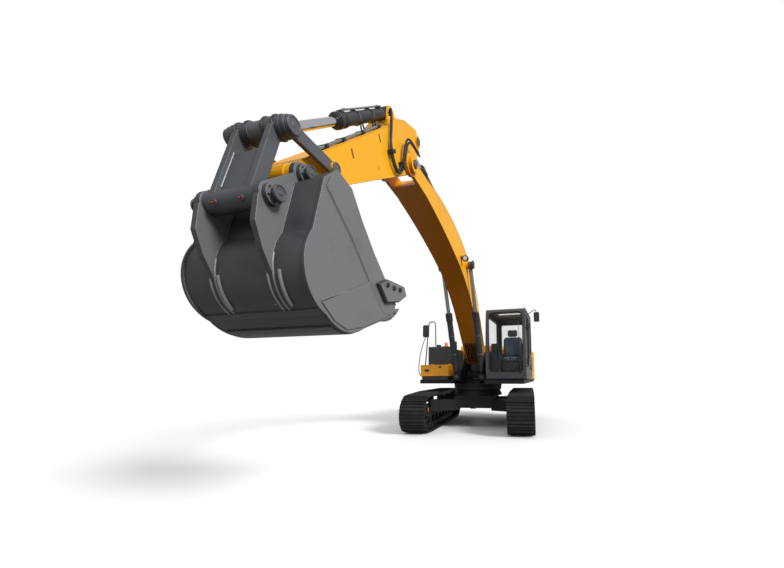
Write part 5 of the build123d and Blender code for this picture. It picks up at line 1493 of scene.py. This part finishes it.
@dataclass
class HouseDress:
    """Latches, caps, grilles, rails and plates of the upper structure."""

    walls: tuple[tuple[str, str, float, int], ...] = (
        ("left", "left_door", 1.380, 1), ("right", "right_door", -1.350, -1),
    )
    louvres: int = 8
    louvre_gap: float = 0.05
    hood: Point = (-1.3975, -0.10, 2.210)
    box_front: float = 0.8995
    behind: float = -4.0
    bearing_ring: float = 0.612
    bearing_bolts: int = 30

    def doors(self, kit: Fitter) -> None:
        """Gauze, louvre lips, latch and bolts of both service doors."""
        pad = slab(0.085, 0.12, 0.012, 0.015, 0.005)
        key = turned(((0.020, 0), (0.020, 0.007), (0.013, 0.010), (0.003, 0.010)), 24)
        steps = self.louvre_gap * np.arange(self.louvres)
        for name, body, y, s in self.walls:
            turn, out, skin = beside(s), standing(LEFT * s), y - 0.0005 * s
            rows = [(-1.3375, y - s * 0.0138, 1.460 + k) for k in steps]
            lips = [(-1.3375, skin, 1.4745 + k) for k in steps]
            kit.copies(
                f"{name}_door_gauze", body, slab(0.606, 0.020, 0.002, 0.009, 0.0007), rows, turn,
                Finish.GLAND_BLACK, "plastic",
            )
            kit.copies(
                f"{name}_door_louvres", body, slab(0.63, 0.008, 0.007, 0.004, 0.003), lips, turn,
                Finish.YELLOW, "yellow",
            )
            spot = np.array((-0.885, skin, 1.66))
            latch = [repeated(pad, spot, turn), repeated(key, spot + LEFT * s * 0.011, out)]
            kit.put(f"{name}_door_latch", body, latch, Finish.PLASTIC, "plastic")
            rows = [(x, skin, z) for x in (-1.925, -0.74) for z in (1.27, 1.66, 1.96)]
            kit.copies(f"{name}_cowl_bolts", "house", bolt(0.010), rows, out, Finish.CASTING, "yellow")

    def engine(self, kit: Fitter) -> None:
        """The cowl's front gauze behind the boom's foot, and the hood's ribs and pulls."""
        spot = kit.touch("cowl", (1.0, -0.06, 1.62), -FORWARD)
        gauze = slab(1.02, 0.76, 0.004, 0.03, 0.0015)
        kit.copies("cowl_front_gauze", "house", gauze, spot, AHEAD, Finish.GLAND_BLACK, "plastic")
        x, y, top = self.hood
        ribs = [(x, y + 0.16 * k, top - 0.002) for k in range(-3, 4)]
        kit.copies(
            "hood_ribs", "hood", slab(0.86, 0.035, 0.010, 0.016, 0.004), ribs, LEVEL, Finish.YELLOW, "yellow"
        )
        bow = ((-0.07, -0.004), (-0.065, 0.035), (0.065, 0.035), (0.07, -0.004))
        pulls = [smoothed([(x - 0.43, y + d + v, top + w) for v, w in bow], 24) for d in (-0.38, 0.38)]
        kit.tubes("hood_handles", "hood", pulls, 0.008, 10, Finish.CHASSIS_BLACK, "black_paint")

    def tanks(self, kit: Fitter) -> None:
        """Filler caps, two beads over the fuel tank and a sight glass."""
        lid = turned(
            ((0.056, 0), (0.066, 0.004), (0.066, 0.030, 0.5), (0.058, 0.036, 0.3), (0.020, 0.038),
             (0.004, 0.038)), 36,
        )
        rows = (0.0775, -1.115, 2.154), (-0.4298, -1.095, 2.104)
        kit.copies("tank_caps", "house", lid, rows, LEVEL, Finish.PLASTIC, "plastic")
        over = (
            (-0.655, 1.235), (-0.637, 1.30), (-0.637, 2.05), (-0.66, 2.111), (-1.32, 2.111), (-1.352, 2.05),
            (-1.352, 1.30), (-1.340, 1.235),
        )
        beads = [smoothed([(x, y, z) for y, z in over], 60) for x in (-0.03, 0.20)]
        kit.tubes("tank_edge_beads", "house", beads, 0.014, 8, Finish.TANK_GREY, "tank_grey", flat=0.35)
        kit.copies(
            "tank_gauge", "house", slab(0.035, 0.20, 0.008, 0.012, 0.003), (-0.43, -1.351, 1.75), beside(-1),
            Finish.SCREEN, "glass",
        )

    def toolbox(self, kit: Fitter) -> None:
        """Tread bars on the lid, each turned a quarter from the next; lamp, latch and trim on the front."""
        row, column = (k.ravel() for k in np.meshgrid(np.arange(9), np.arange(14), indexing="ij"))
        places = np.stack([0.44 + 0.052 * row, -1.30 + 0.0525 * column, np.full(len(row), 1.5995)], -1)
        slant = np.where((row + column) % 2 == 0, 1.0, -1.0)[:, None]
        turns = standing(np.broadcast_to(UP, places.shape), (LEFT - FORWARD * slant) / math.sqrt(2.0))
        points, faces = turned(((0.004, 0.0), (0.0035, 0.0015), (0.001, 0.0025)), 8)
        bar = points * (4.0, 1.0, 1.0), faces
        kit.copies("toolbox_tread", "box_lid", bar, places, turns, Finish.CHASSIS_BLACK, "yellow")
        front = self.box_front
        for name, skin, place, finish, slot in (
            ("lamp", slab(0.115, 0.060, 0.014, 0.01, 0.005), (front, -1.165, 1.455),
             Finish.GLAND_BLACK, "plastic"),
            ("lamp_lens", slab(0.085, 0.038, 0.004, 0.008, 0.0015, 0.002), (front + 0.0135, -1.165, 1.455),
             Finish.SCREEN, "glass"),
            ("latch", slab(0.070, 0.045, 0.012, 0.01, 0.004), (front, -0.80, 1.545),
             Finish.PLASTIC, "plastic"),
        ):
            kit.copies(f"toolbox_{name}", "house", skin, place, AHEAD, finish, slot)
        trim = np.linspace((0.902, -1.335, 1.302), (0.902, -0.575, 1.302), 11)
        kit.tubes("toolbox_trim", "house", [trim], 0.006, 8, Finish.CHASSIS_BLACK, "black_paint")

    def mirrors(self, kit: Fitter) -> None:
        """The thin stay of the right mirror, and the glass of both."""
        stay = smoothed(
            [(0.845, -1.352, 1.32), (0.850, -1.402, 1.40), (0.800, -1.425, 1.65), (0.640, -1.432, 2.00),
             (0.420, -1.428, 2.30), (0.352, -1.405, 2.42)], 60,
        )
        kit.tubes("right_mirror_stay", "house", [stay], 0.010, 12, Finish.CHASSIS_BLACK, "black_paint")
        for name, skin, place in (
            ("right", slab(0.145, 0.310, 0.002, 0.034, 0.0007), (0.3395, -1.400, 2.560)),
            ("left", slab(0.108, 0.205, 0.002, 0.026, 0.0007), (1.1795, 1.720, 2.690)),
        ):
            kit.copies(f"{name}_mirror_glass", "house", skin, place, BEHIND, Finish.MIRROR, "chrome")

    def counterweight(self, kit: Fitter) -> None:
        """Plugs, reflectors and a seam, each where a straight line from behind meets the weight."""
        plug = turned(((0.050, -0.01), (0.050, 0.006), (0.043, 0.010), (0.030, 0.006), (0.004, 0.006)), 32)
        lens = slab(0.14, 0.05, 0.008, 0.012, 0.003)
        for name, skin, reach, height, spread, finish, slot in (
            ("counterweight_plugs", plug, 0.62, 1.32, 1.0, Finish.YELLOW, "yellow"),
            ("rear_reflectors", lens, 0.95, 1.62, 0.9, Finish.RED_LENS, "amber"),
        ):
            rows = self.met(kit, (-reach, reach), height)
            kit.copies(name, "house", skin, rows, standing(rows * (1.0, spread, 0.0)), finish, slot)
        seam = self.met(kit, np.linspace(-1.28, 1.28, 60), 1.235) + FORWARD * 0.002
        kit.tubes("counterweight_seam", "house", [seam], 0.008, 8, Finish.CHASSIS_BLACK, "black_paint")

    def met(self, kit: Fitter, across: Iterable[float], height: float) -> Array:
        """Places on the counterweight's back at one height."""
        starts = [(self.behind, float(y), height) for y in across]
        return np.array([kit.touch("counterweight", start, FORWARD) for start in starts])

    def deck(self, kit: Fitter) -> None:
        """The exhaust's clamp, the swing bearing's bolts, and bolts, hoses and caps at the boom's foot."""
        clamp = turned(((0.060, 0), (0.068, 0.003), (0.068, 0.027), (0.060, 0.030)), 32)
        kit.copies("exhaust_clamp", "house", clamp, (-1.150, -1.000, 2.105), LEVEL, Finish.CASTING, "plastic")
        angle = np.linspace(0.0, 2.0 * math.pi, self.bearing_bolts, endpoint=False)
        ring = self.bearing_ring * np.stack([np.cos(angle), np.sin(angle)], -1)
        rows = np.insert(ring, 2, 1.0195, axis=1)
        kit.copies("bearing_bolts", "undercarriage", bolt(0.016), rows, LEVEL, Finish.CASTING, "cast")
        rows = np.vstack([both(0.10 + 0.16 * k, 0.0, 0.2855, 1.30) for k in range(4)])
        kit.copies("cheek_bolts", "house", bolt(0.014), rows, apart(rows), Finish.CASTING, "black_paint")
        rise = smoothed(
            [(0.42, 0.0, 1.205), (0.46, 0.0, 1.25), (0.47, 0.0, 1.32), (0.44, 0.0, 1.385), (0.36, 0.0, 1.41),
             (0.27, 0.0, 1.42), (0.20, 0.0, 1.40)], 40,
        )
        hoses = [rise + (0.02 * (k % 2), y, 0.0) for k, y in enumerate(HOSE_ROW)]
        kit.tubes("deck_hoses", "house", hoses, HOSE, 12, Finish.RUBBER, "rubber")
        rows, end = both(0.177, 0.0, 0.2849, 1.777), cap(0.075, 0.016)
        kit.copies("boom_foot_caps", "house", end, rows, apart(rows), Finish.LINKAGE_GREY, "black_paint")

    def build(self, kit: Fitter) -> None:
        """Add the pieces."""
        for group in (
            self.doors, self.engine, self.tanks, self.toolbox, self.mirrors, self.counterweight, self.deck,
        ):
            group(kit)


@dataclass
class TrackDress:
    """Hub covers, bolts and caps of the undercarriage, in its own frame, turned under the house."""

    turn: float = math.radians(4.8)
    outside: float = 1.9
    wheels: tuple[tuple[str, float, float, float, int], ...] = (
        ("sprockets", -1.72, 0.469, 0.125, 16), ("idlers", 1.72, 0.444, 0.075, 6),
    )

    def at(self, x: Array, y: Array, z: Array) -> Array:
        """Machine places of points in the undercarriage's frame."""
        x, y, z = np.broadcast_arrays(*(np.asarray(v, float) for v in (x, y, z)))
        c, s = math.cos(self.turn), math.sin(self.turn)
        return np.stack([x * c - y * s, x * s + y * c, z], -1)

    def wheel(self, kit: Fitter, side: str, s: int, sizes: tuple[str, float, float, float, int]) -> None:
        """A ring of bolts and a hub cover where straight lines from outside meet a wheel."""
        node, x, z, ring, number = sizes
        out = self.at(0.0, s, 0.0)
        angle = np.linspace(0.0, 2.0 * math.pi, number, endpoint=False)
        starts = self.at(x + ring * np.cos(angle), s * self.outside, z + ring * np.sin(angle))
        rows = [kit.touch(node, p, -out) for p in starts]
        hub = kit.touch(node, self.at(x, s * self.outside, z), -out)
        steel = Finish.CASTING, "cast"
        turn, cover = standing(out), cap(ring * 0.62, 0.014)
        kit.copies(f"{side}_{node}_bolts", "undercarriage", bolt(0.014), rows, turn, *steel)
        kit.copies(f"{side}_{node}_cover", "undercarriage", cover, hub, turn, *steel)

    def frame(self, kit: Fitter, side: str, s: int) -> None:
        """Step rung and tensioner's cover on a track frame."""
        black, out = (Finish.CHASSIS_BLACK, "black_paint"), self.at(0.0, s, 0.0)
        bow = np.array([(-0.16, 1.35), (-0.15, 1.455), (0.15, 1.455), (0.16, 1.35)])
        rung = smoothed(self.at(bow[:, 0], s * bow[:, 1], 0.50), 30)
        kit.tubes(f"{side}_step", "undercarriage", [rung], 0.013, 10, *black)
        plate = np.stack([self.at(1.0, 0.0, 0.0), UP * s, out], -1)
        spot = kit.touch(f"side_frame_{side}", self.at(0.95, s * self.outside, 0.46), -out)
        cover = slab(0.22, 0.13, 0.008, 0.02, 0.002)
        kit.copies(f"{side}_tensioner_cover", "undercarriage", cover, spot, plate, *black)
        corners = [
            spot + (plate[:, 0] * a + UP * b + out * 0.007) for a in (-0.085, 0.085) for b in (-0.042, 0.042)
        ]
        kit.copies(
            f"{side}_tensioner_bolts", "undercarriage", bolt(0.009), corners, standing(out),
            Finish.CASTING, "black_paint",
        )

    def build(self, kit: Fitter) -> None:
        """Add the pieces."""
        sides = ("left", 1), ("right", -1)
        for wheel in self.wheels:
            for side, s in sides:
                self.wheel(kit, side, s, wheel)
        for side, s in sides:
            self.frame(kit, side, s)
        # an orange marker on the inner face of the right frame's front end
        inward = self.at(0.0, 1.0, 0.0)
        spot = kit.touch("side_frame_right", self.at(1.30, -0.70, 0.50), -inward)
        marker = slab(0.055, 0.085, 0.006, 0.012, 0.002)
        kit.copies("track_marker", "undercarriage", marker, spot, standing(inward), Finish.AMBER, "amber")


@dataclass
class Studio:
    """Floor, backdrop, soft lamps and the camera."""

    eye: Point = (9.774, 2.232, 1.340)
    yaw: float = 15.27
    pitch: float = 7.79
    roll: float = -0.35
    focal: float = 357.7
    centre: tuple[float, float] = (462.4, 325.7)
    size: tuple[int, int] = (784, 568)
    sensor: float = 36.0
    reach: float = 60.0

    def floor(self) -> None:
        """A floor that is white to the camera, grey to bounced light, and takes the machine's shadow."""
        corners = [(x * self.reach, y * self.reach, 0.0) for x, y in ((-1, -1), (1, -1), (1, 1), (-1, 1))]
        data = bpy.data.meshes.new("floor")
        data.from_pydata(corners, [], [(0, 1, 2, 3)])
        floor = bpy.data.objects.new("floor", data)
        bpy.context.scene.collection.objects.link(floor)
        board = Board("pale_floor")
        seen, glossy, clear = (
            board.node("ShaderNodeLightPath", {}, {}, f"Is {ray} Ray")
            for ray in ("Camera", "Glossy", "Transmission")
        )
        bright = (seen + glossy * 0.3 + clear).clipped()
        shade = board.blend(bright, (0.10, 0.10, 0.10), (0.93, 0.93, 0.93))
        data.materials.append(board.finish(Base_Color=shade, Roughness=0.9))

    def world(self) -> None:
        """White to the camera and through glass, half as bright in reflections.

        The machine gets soft grey light, whose strength rises with the height it comes from.
        """
        world = bpy.data.worlds.new("studio")
        bpy.context.scene.world = world
        world.use_nodes = True
        tree = world.node_tree
        tree.nodes.clear()
        out = tree.nodes.new("ShaderNodeOutputWorld")
        light, seen, gloss = (tree.nodes.new("ShaderNodeBackground") for _ in range(3))
        mirrored, straight = (tree.nodes.new("ShaderNodeMixShader") for _ in range(2))
        place = tree.nodes.new("ShaderNodeTexCoord")
        split = tree.nodes.new("ShaderNodeSeparateXYZ")
        ramp = tree.nodes.new("ShaderNodeMapRange")
        path = tree.nodes.new("ShaderNodeLightPath")
        either = tree.nodes.new("ShaderNodeMath")
        either.operation = "MAXIMUM"
        for name, value in (("From Min", -0.25), ("From Max", 0.55), ("To Min", 0.02), ("To Max", 0.74)):
            ramp.inputs[name].default_value = value
        for node in (light, seen, gloss):
            node.inputs["Color"].default_value = (1.0, 1.0, 1.0, 1.0)
        gloss.inputs["Strength"].default_value = 0.5
        for source, sink in (
            (place.outputs["Generated"], split.inputs[0]), (split.outputs["Z"], ramp.inputs["Value"]),
            (ramp.outputs[0], light.inputs["Strength"]),
            (path.outputs["Is Camera Ray"], either.inputs[0]),
            (path.outputs["Is Transmission Ray"], either.inputs[1]),
            (path.outputs["Is Glossy Ray"], mirrored.inputs[0]), (light.outputs[0], mirrored.inputs[1]),
            (gloss.outputs[0], mirrored.inputs[2]), (either.outputs[0], straight.inputs[0]),
            (mirrored.outputs[0], straight.inputs[1]), (seen.outputs[0], straight.inputs[2]),
            (straight.outputs[0], out.inputs["Surface"]),
        ):
            tree.links.new(source, sink)

    def lamps(self) -> None:
        """One broad soft sun from the cab's side and above, and a weak one from the front."""
        for name, direction, strength, spread in (
            ("key", (-0.36, -0.86, -0.56), 2.9, 18.0),
            ("front", (-0.9, 0.15, -0.55), 0.40, 60.0),
        ):
            data = bpy.data.lights.new(name, "SUN")
            data.energy, data.angle = strength, math.radians(spread)
            lamp = bpy.data.objects.new(name, data)
            bpy.context.scene.collection.objects.link(lamp)
            lamp.rotation_mode = "QUATERNION"
            lamp.rotation_quaternion = Vector(direction).to_track_quat("-Z", "Y")

    def camera(self) -> None:
        """The camera: looks back at the machine from in front of and below the raised bucket."""
        yaw, pitch, roll = (math.radians(v) for v in (self.yaw, self.pitch, self.roll))
        forward = Vector(
            (-math.cos(yaw) * math.cos(pitch), -math.sin(yaw) * math.cos(pitch), math.sin(pitch))
        )
        right = forward.cross(Vector((0.0, 0.0, 1.0))).normalized()
        up = right.cross(forward)
        level = math.cos(roll) * right + math.sin(roll) * up
        upright = -math.sin(roll) * right + math.cos(roll) * up
        data = bpy.data.cameras.new("camera")
        width, height = self.size
        data.sensor_width = self.sensor
        data.lens = self.focal / width * data.sensor_width
        data.shift_x = (width / 2 - self.centre[0]) / width
        data.shift_y = (self.centre[1] - height / 2) / width
        data.clip_start, data.clip_end = 0.05, 200.0
        camera = bpy.data.objects.new("camera", data)
        bpy.context.scene.collection.objects.link(camera)
        turn = Matrix((level, upright, -forward)).transposed()
        camera.matrix_world = Matrix.Translation(self.eye) @ turn.to_4x4()
        bpy.context.scene.camera = camera

    def build(self) -> None:
        """Set up the whole studio."""
        bpy.context.scene.view_settings.view_transform = "Standard"
        self.floor()
        self.world()
        self.lamps()
        self.camera()


@dataclass
class CylinderDress:
    """Glands, ports, pipes and bands of one row of cylinders."""

    name: str
    body: str
    base: tuple[float, float]
    eye: tuple[float, float]
    rows: tuple[float, ...]
    tube: float
    rod: float
    gland: float
    bolts: int = 8
    first_port: float = 0.24
    pipe_shift: float = 0.035
    band_shares: tuple[float, ...] = (0.38, 0.66)

    def build(self, kit: Fitter) -> None:
        """Add the pieces: a gland of two steps with its bolts, ports, a pipe along the tube, and bands."""
        view = Side(*self.base, math.atan2(self.eye[1] - self.base[1], self.eye[0] - self.base[0]))
        turn = standing(view.along(1.0, 0.0))
        r, g = self.tube, self.gland
        outer = (
            (0.001, -0.200), (0.013, -0.196), (0.013, -0.110), (0.010, -0.106), (0.010, -0.098),
            (0.015, -0.094), (0.015, -0.030), (0.004, -0.022), (0.004, -0.002), (-0.006, 0.004),
        )
        lip = (0.012, 0.005), (0.008, 0.012), (0.001, 0.013)
        head = turned([(r + u, g + v) for u, v in outer] + [(self.rod + u, g + v) for u, v in lip], 48)
        places = [view.at(0.0, y, 0.0) for y in self.rows]
        ring = r + 0.006
        spots = np.vstack([self.lap(view, g - 0.0305, y, ring, self.bolts, 0.2) for y in self.rows])
        high = r + 0.018
        rise = np.array([
            (self.first_port, r + 0.004), (0.26, high), (0.30, high + 0.006), (0.45, high), (g - 0.30, high),
            (g - 0.22, high + 0.006), (g - 0.17, high + 0.002), (g - 0.15, r + 0.010),
        ])
        shifts = [(y, math.copysign(self.pipe_shift, y)) for y in self.rows]
        pipes = [smoothed(view.at(rise[:, 0], y + d, rise[:, 1]), 48) for y, d in shifts]
        block = slab(0.075, 0.060, 0.030, 0.010, 0.005)
        ends = [view.at(x, y + d * 0.6, r - 0.006) for y, d in shifts for x in (self.first_port, g - 0.15)]
        bands = [self.lap(view, g * share, y, r + 0.001, 48) for y in self.rows for share in self.band_shares]
        grey = Finish.LINKAGE_GREY, "bucket_grey"
        glands, screws = Finish.GLAND_BLACK, Finish.CASTING
        kit.copies(f"{self.name}_glands", self.body, head, places, turn, glands, "bucket_grey")
        kit.copies(f"{self.name}_gland_bolts", self.body, bolt(0.0075), spots, turn, screws, "bucket_grey")
        kit.tubes(f"{self.name}_pipes", self.body, pipes, 0.0115, 10, Finish.PIPE_GREY, "bucket_grey")
        square = standing(view.along(0, 1), view.along(1, 0))
        kit.copies(f"{self.name}_ports", self.body, block, ends, square, *grey)
        kit.tubes(f"{self.name}_bands", self.body, bands, 0.004, 8, *grey, closed=True, flat=4.5)

    @staticmethod
    def lap(view: Side, x: float, y: float, radius: float, count: int, first: float = 0.0) -> Array:
        """Places on a circle round the tube's axis, evenly by angle."""
        angle = np.linspace(0.0, 2.0 * math.pi, count, endpoint=False) + first
        return view.at(x, y + radius * np.cos(angle), radius * np.sin(angle))


def main() -> None:
    """Load the frame, dress it, set the studio up and log how many pieces were added."""
    logging.basicConfig(level=logging.INFO, format="%(message)s")
    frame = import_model()
    kit = Fitter(frame)
    Studio().build()
    FrameFinishes(frame["nodes"]).dress()
    boom, arm = kit.link("boom_lift", "arm_swing"), kit.link("arm_swing", "bucket_curl")
    bucket, arm_dress = Side(*kit.joint("bucket_curl"), BUCKET_SLOPE), ArmDress(arm)
    pins = (boom, BOOM_ROD_PIN), (arm, arm_dress.tail)
    boom_rod, arm_rod = (view.at(along, 0.0, above)[::2] for view, (along, above) in pins)
    lamp = boom.at(3.018, 0.340, 0.760) + (0.072, 0.0, -0.014)
    parts = (
        BucketDress(bucket),
        LinkageDress(kit.joint("h_link_foot"), BUCKET_ROD_EYE, kit.joint("guide_link_foot")),
        arm_dress,
        BoomDress(boom),
        CylinderDress(
            "boom_cylinder", "boom_barrels", kit.joint("boom_cylinder_foot"), boom_rod, (0.331, -0.331),
            tube=0.070, rod=0.044, gland=1.690,
        ),
        CylinderDress(
            "arm_cylinder", "arm_barrel", kit.joint("arm_cylinder_foot"), arm_rod, (0.0,),
            tube=0.082, rod=0.048, gland=2.300,
        ),
        CylinderDress(
            "bucket_cylinder", "bucket_barrel", kit.joint("bucket_cylinder_foot"), BUCKET_ROD_EYE, (0.0,),
            tube=0.074, rod=0.047, gland=1.440,
        ),
        CabDress(),
        SeatDress(),
        HouseDress(),
        TrackDress(),
        LampDress("boom_lamp", "boom", tuple(lamp), (0.98, 0.0, -0.2), 0.056),
    )
    for part in parts:
        part.build(kit)
    LOG.info("%d pieces", kit.count)


if __name__ == "__main__":
    main()
